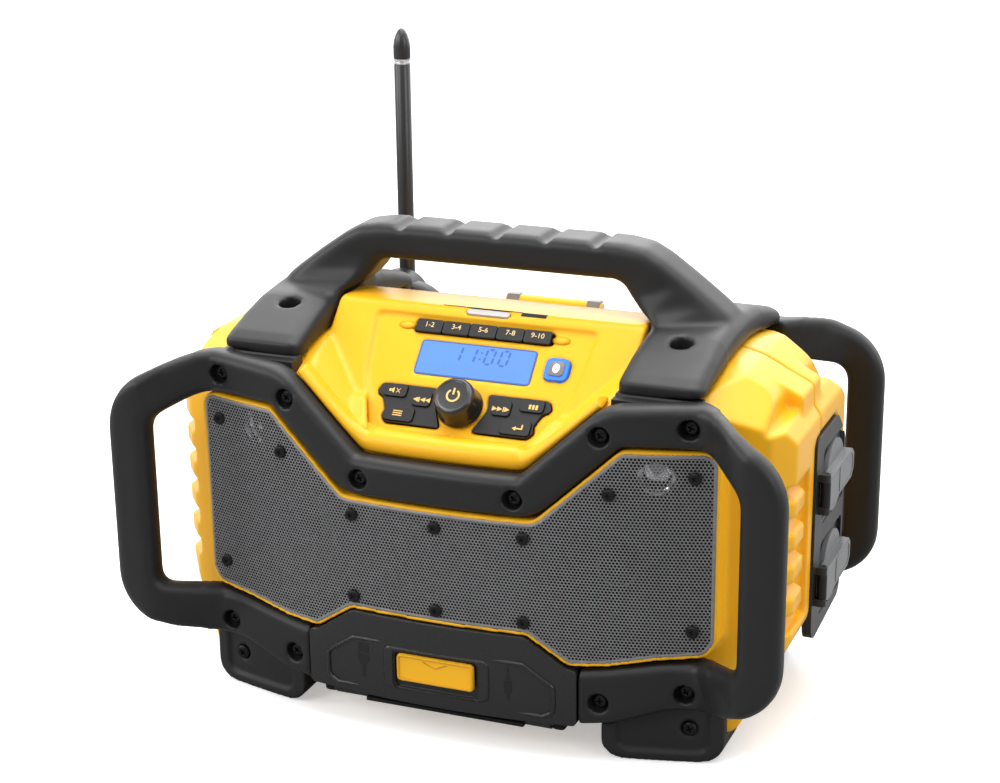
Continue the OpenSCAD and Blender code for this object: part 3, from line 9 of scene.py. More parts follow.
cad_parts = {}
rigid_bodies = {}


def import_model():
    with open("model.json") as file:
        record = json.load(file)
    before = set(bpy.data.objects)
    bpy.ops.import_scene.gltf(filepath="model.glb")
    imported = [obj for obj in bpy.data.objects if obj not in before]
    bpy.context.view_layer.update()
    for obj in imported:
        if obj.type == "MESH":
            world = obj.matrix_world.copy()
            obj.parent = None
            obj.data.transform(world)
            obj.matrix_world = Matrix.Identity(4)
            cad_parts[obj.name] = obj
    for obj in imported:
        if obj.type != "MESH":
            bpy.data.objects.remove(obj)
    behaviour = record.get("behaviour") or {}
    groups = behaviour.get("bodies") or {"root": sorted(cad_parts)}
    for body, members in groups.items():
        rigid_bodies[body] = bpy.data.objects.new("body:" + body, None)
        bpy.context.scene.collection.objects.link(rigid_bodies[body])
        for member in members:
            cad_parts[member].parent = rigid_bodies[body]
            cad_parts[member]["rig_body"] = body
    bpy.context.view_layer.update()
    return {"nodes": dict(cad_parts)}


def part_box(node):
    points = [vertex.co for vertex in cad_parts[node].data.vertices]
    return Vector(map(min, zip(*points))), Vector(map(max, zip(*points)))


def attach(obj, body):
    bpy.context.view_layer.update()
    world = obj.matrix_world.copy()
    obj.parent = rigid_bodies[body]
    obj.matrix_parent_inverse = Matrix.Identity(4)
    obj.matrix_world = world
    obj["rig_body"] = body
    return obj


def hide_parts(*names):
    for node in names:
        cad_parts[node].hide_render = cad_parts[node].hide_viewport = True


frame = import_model()
nodes = frame["nodes"]
scene = bpy.context.scene
mm = 0.001
print("frame loaded:", len(nodes), "nodes")

# camera at the height and side of a person standing near the bench
cameraView = {
    "place": (0.489807, -1.212789, 0.628701),
    "right": (0.92711703, 0.3746134, -0.01089981),
    "up": (-0.10838312, 0.29584761, 0.94906654),
    "look": (-0.35875773, 0.8787144, -0.31488713),
    "lens": 75.744, "sensor": 36, "near": 0.05, "far": 30,
}


def makeCamera(view):
    data = bpy.data.cameras.new("camera")
    data.sensor_fit = "HORIZONTAL"
    data.sensor_width = view["sensor"]
    data.lens = view["lens"]
    data.clip_start = view["near"]
    data.clip_end = view["far"]
    camera = bpy.data.objects.new("camera", data)
    right, up, look = (Vector(view[k]).normalized() for k in ("right", "up", "look"))
    turn = Matrix((right, up, -look)).transposed().to_4x4()
    camera.matrix_world = Matrix.Translation(Vector(view["place"])) @ turn
    scene.collection.objects.link(camera)
    scene.camera = camera


makeCamera(cameraView)

# small helpers for materials

grainDepth = 0.0001
edgeSamples = 4
mixSockets = {"first": 6, "second": 7, "result": 2}  # the colours of a Mix node


def newMaterial(name):
    mat = bpy.data.materials.new(name)
    mat.use_nodes = True
    tree = mat.node_tree
    place = tree.nodes.new("ShaderNodeTexCoord")
    return mat, tree, tree.nodes["Principled BSDF"], place.outputs["Object"]


def feed(tree, value, socket):
    # the socket takes a link from another node or a plain value
    if isinstance(value, bpy.types.NodeSocket):
        tree.links.new(value, socket)
    else:
        socket.default_value = value


def feedAll(tree, node, inputs):
    for name, value in inputs.items():
        feed(tree, value, node.inputs[name])
    return node


def noise(tree, place, scale, detail):
    node = tree.nodes.new("ShaderNodeTexNoise")
    return feedAll(tree, node, {"Vector": place, "Scale": scale, "Detail": detail}).outputs["Fac"]


def ramp(tree, value, stops):
    node = feedAll(tree, tree.nodes.new("ShaderNodeValToRGB"), {"Fac": value})
    for end, (at, shade) in zip(node.color_ramp.elements, stops):
        end.position = at
        end.color = (*shade, 1) if isinstance(shade, tuple) else (shade, shade, shade, 1)
    return node.outputs["Color"]


def spread(tree, value, low, high):
    node = tree.nodes.new("ShaderNodeMapRange")
    return feedAll(tree, node, {"Value": value, "To Min": low, "To Max": high}).outputs["Result"]


def grainOn(tree, height, strength, edge):
    # a fine grain over edges that the shader rounds off
    soft = feedAll(tree, tree.nodes.new("ShaderNodeBevel"), {"Radius": edge})
    soft.samples = edgeSamples
    node = tree.nodes.new("ShaderNodeBump")
    return feedAll(tree, node, {"Strength": strength, "Distance": grainDepth, "Height": height,
        "Normal": soft.outputs["Normal"]}).outputs["Normal"]


def mix(tree, factor, first, second, blend="MIX"):
    node = tree.nodes.new("ShaderNodeMix")
    node.data_type = "RGBA"
    node.blend_type = blend
    feed(tree, factor, node.inputs["Factor"])
    feed(tree, first, node.inputs[mixSockets["first"]])
    feed(tree, second, node.inputs[mixSockets["second"]])
    return node.outputs[mixSockets["result"]]


def reckon(tree, operation, *values):
    node = tree.nodes.new("ShaderNodeMath")
    node.operation = operation
    for socket, value in zip(node.inputs, values):
        feed(tree, value, socket)
    return node.outputs[0]


def plastic(name, look):
    # moulded plastic: clouded colour, spark-eroded grain, rubbed gloss and softened edges
    mat, tree, shader, place = newMaterial(name)
    dark = tuple(c * (1 - look["cloud"]) for c in look["shade"])
    pale = tuple(min(1, c * (1 + look["cloud"])) for c in look["shade"])
    clouds = noise(tree, place, look["cloudScale"], 3)
    rubbing = noise(tree, place, look["rubScale"], 4)
    grain = noise(tree, place, look["grainScale"], 2)
    feedAll(tree, shader, {
        "Base Color": ramp(tree, clouds, [(0.3, dark), (0.7, pale)]),
        "Roughness": spread(tree, rubbing, look["roughLow"], look["roughHigh"]),
        "Normal": grainOn(tree, grain, look["grain"], look["edge"]),
        "Specular IOR Level": look["specular"],
    })
    return mat


def metal(name, look):
    mat, tree, shader, place = newMaterial(name)
    dull = tuple(c * 0.85 for c in look["shade"])
    bright = tuple(min(1, c * 1.1) for c in look["shade"])
    clouds, rubbing, grain = (noise(tree, place, look["scale"] * finer, detail)
        for finer, detail in ((1, 4), (3, 3), (8, 2)))
    feedAll(tree, shader, {
        "Metallic": look["metal"],
        "Base Color": ramp(tree, clouds, [(0.3, dull), (0.7, bright)]),
        "Roughness": spread(tree, rubbing, look["roughLow"], look["roughHigh"]),
        "Normal": grainOn(tree, grain, look["grain"], look["edge"]),
        "Specular IOR Level": look["specular"],
    })
    return mat


def printed(name, look):
    mat, tree, shader, place = newMaterial(name)
    shade = look["shade"]
    faded = tuple(c * 0.9 for c in shade)
    feedAll(tree, shader, {
        "Base Color": ramp(tree, noise(tree, place, 900, 2), [(0.2, faded), (0.8, shade)]),
        "Roughness": spread(tree, noise(tree, place, 500, 2), 0.45, 0.6),
        "Emission Color": (*shade, 1),
        "Emission Strength": look["glow"],
    })
    return mat


plasticTerms = ("shade", "cloud", "cloudScale", "rubScale", "roughLow", "roughHigh", "grainScale", "grain", "edge",
    "specular")
plasticLooks = {
    "yellow": ((0.94, 0.475, 0.011), 0.03, 14, 30, 0.3, 0.38, 1800, 0.12, 0.0032, 0.3),
    "charcoal": ((0.0105, 0.0105, 0.011), 0.08, 20, 40, 0.4, 0.5, 2600, 0.3, 0.0008, 0.3),
    "doorBlack": ((0.0095, 0.0095, 0.01), 0.06, 40, 60, 0.24, 0.32, 2600, 0.15, 0.0016, 0.42),
    "foot": ((0.014, 0.014, 0.015), 0.1, 30, 60, 0.5, 0.62, 2200, 0.35, 0.001, 0.3),
    "keypad": ((0.013, 0.013, 0.014), 0.06, 60, 90, 0.42, 0.5, 3500, 0.2, 0.0005, 0.3),
    "knob": ((0.012, 0.012, 0.013), 0.05, 60, 80, 0.22, 0.3, 3500, 0.08, 0.0008, 0.55),
    "outletDark": ((0.012, 0.012, 0.013), 0.08, 40, 60, 0.38, 0.48, 2600, 0.2, 0.0005, 0.22),
    "lidGrey": ((0.17, 0.174, 0.178), 0.05, 50, 60, 0.36, 0.46, 2600, 0.15, 0.0006, 0.5),
    "antenna": ((0.016, 0.016, 0.017), 0.05, 60, 50, 0.3, 0.38, 3000, 0.1, 0.0005, 0.5),
    "pictogram": ((0.008, 0.008, 0.009), 0.05, 60, 50, 0.55, 0.65, 3000, 0.1, 0.0003, 0.3),
    "cone": ((0.005, 0.005, 0.005), 0.12, 120, 60, 0.3, 0.5, 1500, 0.4, 0.0005, 0.12),
    "panelGrey": ((0.014, 0.014, 0.015), 0.06, 40, 60, 0.34, 0.42, 2600, 0.15, 0.0006, 0.35),
    "capGrey": ((0.16, 0.16, 0.165), 0.05, 90, 90, 0.4, 0.48, 3500, 0.12, 0.0003, 0.5),
    "lens": ((0.5, 0.49, 0.48), 0.05, 90, 90, 0.12, 0.2, 900, 0.1, 0.0004, 0.6),
    # blackPaint: near black that stands in for shade, behind the grille, on the lugs beside the door and under the
    # door
    "blackPaint": ((0.006, 0.006, 0.006), 0.1, 60, 50, 0.7, 0.8, 3000, 0.2, 0.0003, 0.2),
    "board": ((0.01, 0.09, 0.035), 0.15, 150, 80, 0.3, 0.45, 1200, 0.3, 0.0002, 0.5),
}
metalTerms = ("shade", "metal", "scale", "roughLow", "roughHigh", "grain", "edge", "specular")
metalLooks = {
    "chrome": ((0.82, 0.82, 0.84), 1.0, 200, 0.08, 0.16, 0.03, 0.0002, 0.5),
    "steel": ((0.6, 0.6, 0.62), 1.0, 200, 0.22, 0.35, 0.1, 0.0002, 0.5),
    "screw": ((0.009, 0.009, 0.0095), 0.4, 400, 0.28, 0.42, 0.15, 0.0003, 0.25),
    "sheet": ((0.23, 0.23, 0.235), 0.3, 250, 0.4, 0.52, 0.2, 0.0002, 0.5),
}
printTerms = ("shade", "glow")
printLooks = {
    "gold": ((0.85, 0.55, 0.16), 0.0),
    "paleGold": ((0.9, 0.62, 0.3), 0.0),
    "white": ((0.85, 0.86, 0.88), 0.15),
    "blueLit": ((0.02, 0.16, 0.75), 0.5),
    "displayBlue": ((0.082, 0.23, 0.67), 0.12),
    "displayRim": ((0.03, 0.11, 0.4), 0.1),
    "digit": ((0.035, 0.11, 0.4), 0.08),
    "ghost": ((0.08, 0.225, 0.66), 0.11),
}
finish = {}
kinds = [(plastic, "Plastic", plasticTerms, plasticLooks), (metal, "Metal", metalTerms, metalLooks),
    (printed, "Print", printTerms, printLooks)]
for make, kind, terms, looks in kinds:
    for name, row in looks.items():
        finish[name] = make(name + kind, dict(zip(terms, row)))
print("materials made:", len(finish))

# stage

studio = {"above": 0.6, "behind": 0.8, "glossy": 1.8, "bounce": 0.42, "paper": 0.86, "glow": 0.42,
    "floorSize": 14, "floorZ": -0.0005, "floorRough": 0.9, "floorSpecular": 0.1}
lamps = {
    "overhead": {"place": (0.1, 0.1, 1.9), "aim": (0, 0, 0.15), "size": (2.0, 1.6), "watts": 38},
    "frontLeft": {"place": (-1.2, -2.1, 1.5), "aim": (0, 0, 0.12), "size": (1.0, 1.0), "watts": 24},
    "rightSide": {"place": (2.2, -0.7, 1.1), "aim": (0.1, 0, 0.12), "size": (0.8, 1.0), "watts": 14},
    "leftSide": {"place": (-2.1, -0.8, 1.1), "aim": (-0.1, 0, 0.12), "size": (0.8, 1.0), "watts": 22},
    "back": {"place": (-0.6, 1.9, 1.3), "aim": (0, 0, 0.2), "size": (1.6, 0.8), "watts": 12},
}


def makeFloor(look):
    bpy.ops.mesh.primitive_plane_add(size=look["floorSize"], location=(0, 0, look["floorZ"]))
    floor = bpy.context.object
    floor.name = "floor"
    mat, tree, shader, place = newMaterial("floorPaper")
    seen = tree.nodes.new("ShaderNodeLightPath").outputs["Is Camera Ray"]
    bounced, paper = ((look[tone], look[tone], look[tone], 1) for tone in ("bounce", "paper"))
    feedAll(tree, shader, {
        "Base Color": mix(tree, seen, bounced, paper),
        "Roughness": look["floorRough"],
        "Specular IOR Level": look["floorSpecular"],
        "Emission Color": (1, 1, 1, 1),
        "Emission Strength": reckon(tree, "MULTIPLY", seen, look["glow"]),
    })
    floor.data.materials.append(mat)


def makeWorld(look):
    # bright paper behind and above, a dim room in front
    world = bpy.data.worlds.new("studio")
    scene.world = world
    world.use_nodes = True
    tree = world.node_tree
    rays = tree.nodes.new("ShaderNodeLightPath")
    place = tree.nodes.new("ShaderNodeTexCoord")
    split = tree.nodes.new("ShaderNodeSeparateXYZ")
    tree.links.new(place.outputs["Generated"], split.inputs[0])
    above = ramp(tree, split.outputs["Z"], [(0.05, 0.03), (0.95, look["above"])])
    behind = ramp(tree, split.outputs["Y"], [(0.0, 0.02), (0.6, look["behind"])])
    sky = mix(tree, 1.0, above, behind, "ADD")
    feedAll(tree, tree.nodes["Background"], {
        "Color": mix(tree, rays.outputs["Is Camera Ray"], sky, (1, 1, 1, 1)),
        "Strength": reckon(tree, "MULTIPLY_ADD", rays.outputs["Is Glossy Ray"], look["glossy"], 1.0),
    })


def makeLamps(lampList):
    for name, look in lampList.items():
        data = bpy.data.lights.new(name, "AREA")
        data.shape = "RECTANGLE"
        data.size, data.size_y = look["size"]
        data.energy = look["watts"]
        lamp = bpy.data.objects.new(name, data)
        lamp.location = look["place"]
        way = Vector(look["aim"]) - Vector(look["place"])
        lamp.rotation_euler = way.to_track_quat("-Z", "Y").to_euler()
        scene.collection.objects.link(lamp)


makeFloor(studio)
makeWorld(studio)
makeLamps(lamps)
print("stage and lamps made")

# shapes drawn on flat outlines, in millimetres

corners = {"tightest": 0.1, "shareOfEdge": 0.48, "straight": 0.01, "sharpest": 0.4}


def roundOutline(points, radius, steps=4):
    # corners eased by a short arc
    result = []
    for i, point in enumerate(points):
        corner = Vector(point)
        before = Vector(points[i - 1]) - corner
        after = Vector(points[(i + 1) % len(points)]) - corner
        half = before.angle(after) / 2
        cut = min(radius / max(math.tan(half), corners["tightest"]), before.length * corners["shareOfEdge"],
            after.length * corners["shareOfEdge"])
        start, end = corner + before.normalized() * cut, corner + after.normalized() * cut
        for k in range(steps + 1):
            t = k / steps
            spot = start * (1 - t) ** 2 + corner * 2 * t * (1 - t) + end * t ** 2
            result.append((spot.x, spot.y))
    return result


def rectangle(u, v, width, height, radius=0.0):
    w, h = width / 2, height / 2
    points = [(u - w, v - h), (u + w, v - h), (u + w, v + h), (u - w, v + h)]
    return roundOutline(points, radius) if radius else points


def circle(u, v, radius, count=32):
    return [(u + radius * math.cos(2 * math.pi * k / count), v + radius * math.sin(2 * math.pi * k / count))
        for k in range(count)]


def insetOutline(points, by):
    result = []
    for i, point in enumerate(points):
        here = Vector(point)
        first = (here - Vector(points[i - 1])).normalized()
        second = (Vector(points[(i + 1) % len(points)]) - here).normalized()
        sides = Vector((-first.y, first.x)), Vector((-second.y, second.x))
        middle = sides[0] + sides[1]
        if middle.length < corners["straight"]:
            middle = sides[0].copy()
        middle.normalize()
        spot = here + middle * by / max(corners["sharpest"], middle.dot(sides[0]))
        result.append((spot.x, spot.y))
    return result


# the casing's faces that pieces are laid on: u along, v up and w out
faces = {"panelY": -88.0, "panelZ": 196.6, "doorY": -125.5, "doorBow": 1150, "latchY": -126.0, "sideX": 210.5,
    "casingBow": 552}


def onPanel(u, v, w=0.0):
    # the control panel slopes at 45 degrees
    s = math.sqrt(0.5)
    return Vector((u, faces["panelY"] + (v - w) * s, faces["panelZ"] + (v + w) * s)) * mm


def onDoor(u, v, w=0.0):
    return Vector((u, faces["doorY"] + u * u / faces["doorBow"] - w, v)) * mm


def onLatch(u, v, w=0.0):
    return Vector((u, faces["latchY"] - w, v)) * mm


def onSide(u, v, w=0.0):
    return Vector((faces["sideX"] + w, u, v)) * mm


def bowedBack(x, radius):
    # how far a bowed face falls back at x
    return radius - (radius * radius - x * x) ** 0.5


def joinRings(bm, loops, close=True):
    count = len(loops[0])
    for low, high in zip(loops, loops[1:]):
        for i in range(count if close else count - 1):
            j = (i + 1) % count
            bm.faces.new((low[i], low[j], high[j], high[i]))


def addSlab(bm, outline, low, high, place, chamfer=0.0):
    # closed slab on an outline, with its top edge taken off
    rings = [(outline, low), (outline, high - chamfer)]
    if chamfer:
        eased = chamfer * 0.3
        rings += [(insetOutline(outline, eased), high - eased), (insetOutline(outline, chamfer), high)]
    loops = [[bm.verts.new(place(u, v, w)) for u, v in ring] for ring, w in rings]
    joinRings(bm, loops)
    bm.faces.new(loops[0][::-1])
    bm.faces.new(loops[-1])


# share of a bead's half width and of its height
beadSection = [(-1, 0), (-0.8, 0.6), (-0.35, 1), (0.35, 1), (0.8, 0.6), (1, 0)]


def addBead(bm, outline, width, low, high, place, close=True):
    # rounded bead along a line on the surface
    sections = [(width / 2 * across, high * up if up else low) for across, up in beadSection]
    if close:
        loops = [[bm.verts.new(place(u, v, w)) for u, v in insetOutline(outline, off)] for off, w in sections]
        joinRings(bm, loops + [loops[0]])
        return
    line = [Vector(p) for p in outline]
    rows = []
    for off, w in sections:
        row = []
        for i, spot in enumerate(line):
            way = (line[min(i + 1, len(line) - 1)] - line[max(i - 1, 0)]).normalized()
            side = spot + Vector((-way.y, way.x)) * off
            row.append(bm.verts.new(place(side.x, side.y, w)))
        rows.append(row)
    joinRings(bm, rows + [rows[0]], close=False)
    bm.faces.new([row[0] for row in rows])
    bm.faces.new([row[-1] for row in rows][::-1])


def addLathe(bm, profile, place, count=64):
    # closed turned shape; the profile runs from the axis out and back to it as (radius, height)
    loops = []
    for radius, height in profile:
        if radius:
            loops.append([bm.verts.new(place(*spot, height)) for spot in circle(0, 0, radius, count)])
        else:
            loops.append([bm.verts.new(place(0, 0, height))])
    for low, high in zip(loops, loops[1:]):
        for i in range(count):
            j = (i + 1) % count
            ends = [low[i % len(low)], low[j % len(low)], high[j % len(high)], high[i % len(high)]]
            bm.faces.new(list(dict.fromkeys(ends)))


def plainMesh(holder):
    # the mesh that a holder's curve or modifiers make; the holder goes
    mesh = bpy.data.meshes.new_from_object(holder.evaluated_get(bpy.context.evaluated_depsgraph_get()))
    bpy.data.objects.remove(holder)
    return mesh


def addText(bm, label, size, u, v, low, high, place, bold):
    # letters are made a mesh first and then laid on the surface
    curve = bpy.data.curves.new("label", "FONT")
    curve.body = label
    curve.size = size
    curve.offset = bold
    curve.extrude = 0.5
    curve.align_x, curve.align_y = "CENTER", "CENTER"
    curve.resolution_u = 3
    holder = bpy.data.objects.new("label", curve)
    scene.collection.objects.link(holder)
    mesh = plainMesh(holder)
    spots = [bm.verts.new(place(u + p.co.x, v + p.co.y, low if p.co.z < 0 else high))
        for p in mesh.vertices]
    for face in mesh.polygons:
        ends = [spots[i] for i in face.vertices]
        if len(set(ends)) > 2:
            try:
                bm.faces.new(ends)
            except ValueError:
                pass
    bpy.data.curves.remove(curve)
    bpy.data.meshes.remove(mesh)


# pieces and what they ride on


def bodyOf(node):
    return nodes[node]["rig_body"]


def pieceFrom(name, mesh, node, replaced=()):
    # a piece that rides the node's body
    piece = bpy.data.objects.new(name, mesh)
    scene.collection.objects.link(piece)
    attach(piece, bodyOf(node))
    if replaced:
        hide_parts(*replaced)
    return piece


def finishMesh(name, bm, finishName, angle):
    bmesh.ops.recalc_face_normals(bm, faces=bm.faces)
    mesh = bpy.data.meshes.new(name)
    bm.to_mesh(mesh)
    bm.free()
    mesh.materials.append(finish[finishName])
    mesh.shade_smooth()
    mesh.set_sharp_from_angle(angle=math.radians(angle))
    return mesh


def drawPiece(name, finishName, node, draw, replaced=(), angle=30):
    bm = bmesh.new()
    draw(bm)
    return pieceFrom(name, finishMesh(name, bm, finishName, angle), node, replaced)


# dressed copies of the CAD nodes

copyLook = {"merge": 2e-6, "flat": 0.6, "angle": 35, "segments": 2, "weight": 60, "ease": 0.5}


def mergedMesh(node, flat=0):
    mesh = nodes[node].data.copy()
    mesh.name = node + "Dressed"
    bm = bmesh.new()
    bm.from_mesh(mesh)
    bmesh.ops.remove_doubles(bm, verts=bm.verts, dist=copyLook["merge"])
    if flat:
        bmesh.ops.dissolve_limit(bm, angle_limit=math.radians(flat), verts=bm.verts, edges=bm.edges)
    bm.to_mesh(mesh)
    bm.free()
    mesh.materials.clear()
    return mesh


def softCopy(node, finishName, width):
    # flat faces joined, small bevels and weighted normals
    angle = math.radians(copyLook["angle"])
    mesh = mergedMesh(node, copyLook["flat"])
    mesh.materials.append(finish[finishName])
    mesh.shade_smooth()
    mesh.set_sharp_from_angle(angle=angle)
    piece = pieceFrom(node + "Piece", mesh, node, (node,))
    if width:
        bevel = piece.modifiers.new("bevel", "BEVEL")
        bevel.width = width
        bevel.segments = copyLook["segments"]
        bevel.limit_method = "ANGLE"
        bevel.angle_limit = angle
        bevel.use_clamp_overlap = True
    weighted = piece.modifiers.new("weighted", "WEIGHTED_NORMAL")
    weighted.keep_sharp = True
    weighted.weight = copyLook["weight"]


def settled(mesh, rounds, where=None, keep=0):
    # the mesh eased by rounds of smoothing, all of it or where the test says, and then thinned
    holder = bpy.data.objects.new("form", mesh)
    scene.collection.objects.link(holder)
    ease = holder.modifiers.new("ease", "SMOOTH")
    ease.factor = copyLook["ease"]
    ease.iterations = rounds
    if where:
        chosen = holder.vertex_groups.new(name="eased")
        chosen.add([v.index for v in mesh.vertices if where(v.co / mm)], 1.0, "REPLACE")
        ease.vertex_group = "eased"
    if keep:
        fewer = holder.modifiers.new("fewer", "DECIMATE")
        fewer.ratio = keep
    return plainMesh(holder)


def softForm(node, look):
    # a moulded form with every edge eased: voxel remesh, then smoothed a little
    holder = bpy.data.objects.new("form", mergedMesh(node))
    scene.collection.objects.link(holder)
    remesh = holder.modifiers.new("remesh", "REMESH")
    remesh.mode = "VOXEL"
    remesh.voxel_size = look["grid"]
    remesh.use_smooth_shade = True
    made = settled(plainMesh(holder), look["rounds"], keep=look.get("keep", 0))
    if "extra" in look:
        made = settled(made, look["extra"]["rounds"], look["extra"]["where"])
    made.name = node + "Dressed"
    made.materials.clear()
    made.materials.append(finish[look["finish"]])
    made.shade_smooth()
    print(node, "faces:", len(made.polygons))
    pieceFrom(node + "Piece", made, node, (node,))


def atLoops(spot):
    return abs(spot.x) > 172


def atGripEnds(spot):
    return abs(spot.x) > 74 and abs(spot.y) < 40


frameForm = {"finish": "charcoal", "grid": 0.0013, "rounds": 9, "extra": {"rounds": 30, "where": atLoops}}
footForm = {"finish": "foot", "grid": 0.0011, "rounds": 7}
forms = {
    "front_housing": {"finish": "yellow", "grid": 0.0012, "rounds": 7, "keep": 0.28},
    "rear_housing": {"finish": "yellow", "grid": 0.0016, "rounds": 6, "keep": 0.42},
    "front_frame": frameForm,
    "rear_frame": frameForm,
    "handle": {"finish": "charcoal", "grid": 0.0013, "rounds": 9,
        "extra": {"rounds": 26, "where": atGripEnds}},
    "foot_front_left": footForm, "foot_front_right": footForm,
    "foot_rear_left": footForm, "foot_rear_right": footForm,
}
for node, look in forms.items():
    softForm(node, look)

# finish, bevel in metres, nodes
dressed = [
    ("keypad", 0, ["keypad_mat", "key_mute", "key_menu", "key_previous", "key_mode", "key_enter", "key_next"]),
    ("keypad", 0.0003, ["preset_key_1", "preset_key_2", "preset_key_3", "preset_key_4", "preset_key_5"]),
    ("blueLit", 0, ["wireless_button"]),
    ("doorBlack", 0.0022, ["device_door"]),
    ("yellow", 0.001, ["device_door_latch"]),
    ("charcoal", 0.001, ["battery_door"]),
    ("yellow", 0.0008, ["battery_door_latch"]),
    ("panelGrey", 0, ["outlet_panel"]),
    ("outletDark", 0, ["outlet_upper", "outlet_lower"]),
    ("lidGrey", 0.0006, ["outlet_lid_upper", "outlet_lid_lower"]),
    ("charcoal", 0.001, ["antenna_base"]),
    ("foot", 0, ["mains_gland"]),
    ("lens", 0, ["indicator_lens"]),
]
for finishName, width, chosen in dressed:
    for node in chosen:
        softCopy(node, finishName, width)

# nodes that keep their own mesh, mostly inside
plain = {
    "blueLit": ["lcd_module"],
    "steel": ["encoder_plunger", "encoder_body", "device_door_pin", "usb_port", "aux_jack", "battery_door_pin",
        "latch_pin", "outlet_lid_pins"],
    "board": ["control_board", "main_board", "power_supply"],
    "cone": ["woofer_left", "woofer_right"],
    "chrome": ["tweeter_left", "tweeter_right"],
    "outletDark": ["battery_terminals"],
}
for finishName, chosen in plain.items():
    for node in chosen:
        mesh = nodes[node].data
        if not mesh.materials:
            mesh.materials.append(finish[finishName])
        for i in range(len(mesh.materials)):
            mesh.materials[i] = finish[finishName]
print("nodes dressed:", sum(len(row[2]) for row in dressed), "plain:", sum(map(len, plain.values())))

# speaker grille: a perforated sheet that follows the bowed front

grille = {
    "front": -123.5, "bow": 551.5, "lift": 0.15, "skin": 0.3, "screwSpan": 10,
    "pitch": 2.2, "hole": 1.76, "depth": 0.5, "lowest": 50, "rise": 170, "columns": 82, "clear": 2.6,
    "dimple": 6.0, "dimpleDepth": 1.5, "merge": 0.02,
    "crease": {"x": 62, "z": 117, "slope": 0.18, "depth": 0.7, "width": 2.2},
    "border": 1.1,
    "rimSection": [(0.0, -1.1), (0.12, -0.45), (0.5, -0.05), (1.0, 0.1), (2.0, 0.0), (2.15, -0.5)],
}


def sheetPoint(x, z, w=0.0):
    return Vector((x, grille["front"] + bowedBack(x, grille["bow"]) - w, z)) * mm


def nodeLoops(node):
    # closed edge loops of the node's front skin, in millimetres as (x, z)
    bm = bmesh.new()
    bm.from_mesh(mergedMesh(node))

    def onSkin(vert):
        x, y = vert.co.x / mm, vert.co.y / mm
        return abs(y - grille["front"] - bowedBack(x, grille["bow"])) < grille["skin"]
    inside = dict.fromkeys(f for f in bm.faces if f.normal.y < -0.7 and all(map(onSkin, f.verts)))
    links = {}
    for edge in [e for f in inside for e in f.edges if sum(g in inside for g in e.link_faces) == 1]:
        a, b = edge.verts
        links.setdefault(a, []).append(b)
        links.setdefault(b, []).append(a)
    loops = []
    left = dict.fromkeys(links)
    while left:
        start = left.popitem()[0]
        loop, here, before = [start], links[start][0], start
        while here is not start and here in left:
            del left[here]
            loop.append(here)
            here, before = next((v for v in links[here] if v is not before), start), here
        loops.append([(v.co.x / mm, v.co.z / mm) for v in loop])
    bm.free()
    return sorted(loops, key=len, reverse=True)


def spanOf(loop):
    return max(p[0] for p in loop) - min(p[0] for p in loop)


def turnedLeft(loop):
    area = sum(a[0] * b[1] - b[0] * a[1] for a, b in zip(loop, loop[1:] + loop[:1]))
    return loop if area > 0 else loop[::-1]


grilleLoops = nodeLoops("speaker_grille")
sheetEdge = turnedLeft(max(grilleLoops, key=spanOf))
holeCentres = [tuple(sum(axis) / len(loop) for axis in zip(*loop))
    for loop in grilleLoops if spanOf(loop) < grille["screwSpan"]]
print("grille outline points:", len(sheetEdge), "screw places:", len(holeCentres))


def insideEdge(spots, edge, margin):
    # which spots lie inside the edge and further than the margin from it
    a = np.array(edge)
    b = np.roll(a, -1, axis=0)
    x, z = spots[:, 0:1], spots[:, 1:2]
    crossing = (a[:, 1] > z) != (b[:, 1] > z)
    rise = np.where(b[:, 1] == a[:, 1], 1e-9, b[:, 1] - a[:, 1])
    at = a[:, 0] + (z - a[:, 1]) * (b[:, 0] - a[:, 0]) / rise
    inside = (crossing & (x < at)).sum(axis=1) % 2 == 1
    way = b - a
    t = ((x - a[:, 0]) * way[:, 0] + (z - a[:, 1]) * way[:, 1]) / np.maximum((way ** 2).sum(axis=1), 1e-9)
    t = np.clip(t, 0, 1)
    away = np.hypot(x - a[:, 0] - t * way[:, 0], z - a[:, 1] - t * way[:, 1]).min(axis=1)
    return inside & (away > margin)


def latticeSpots(look):
    rowPitch = look["pitch"] * math.sqrt(3) / 2
    spots = []
    for r in range(int(look["rise"] / rowPitch)):
        for c in range(-look["columns"], look["columns"] + 1):
            spots.append(((c + 0.5 * (r % 2)) * look["pitch"], look["lowest"] + r * rowPitch))
    spots = np.array(spots)
    keep = insideEdge(spots, sheetEdge, look["border"])
    for x, z in holeCentres:
        keep &= np.hypot(spots[:, 0] - x, spots[:, 1] - z) > look["clear"]
    return spots[keep]


def sheetRelief(x, z, look):
    # sunk round each screw and pressed between the middle and the speakers
    deep = np.zeros_like(x)
    for cx, cz in holeCentres:
        near = np.clip(1 - np.hypot(x - cx, z - cz) / look["dimple"], 0, 1)
        deep += look["dimpleDepth"] * near * near * (3 - 2 * near)
    crease = look["crease"]
    line = crease["x"] + (z - crease["z"]) * crease["slope"]
    deep += crease["depth"] / (1 + np.exp(-(line - np.abs(x)) / crease["width"]))
    return deep


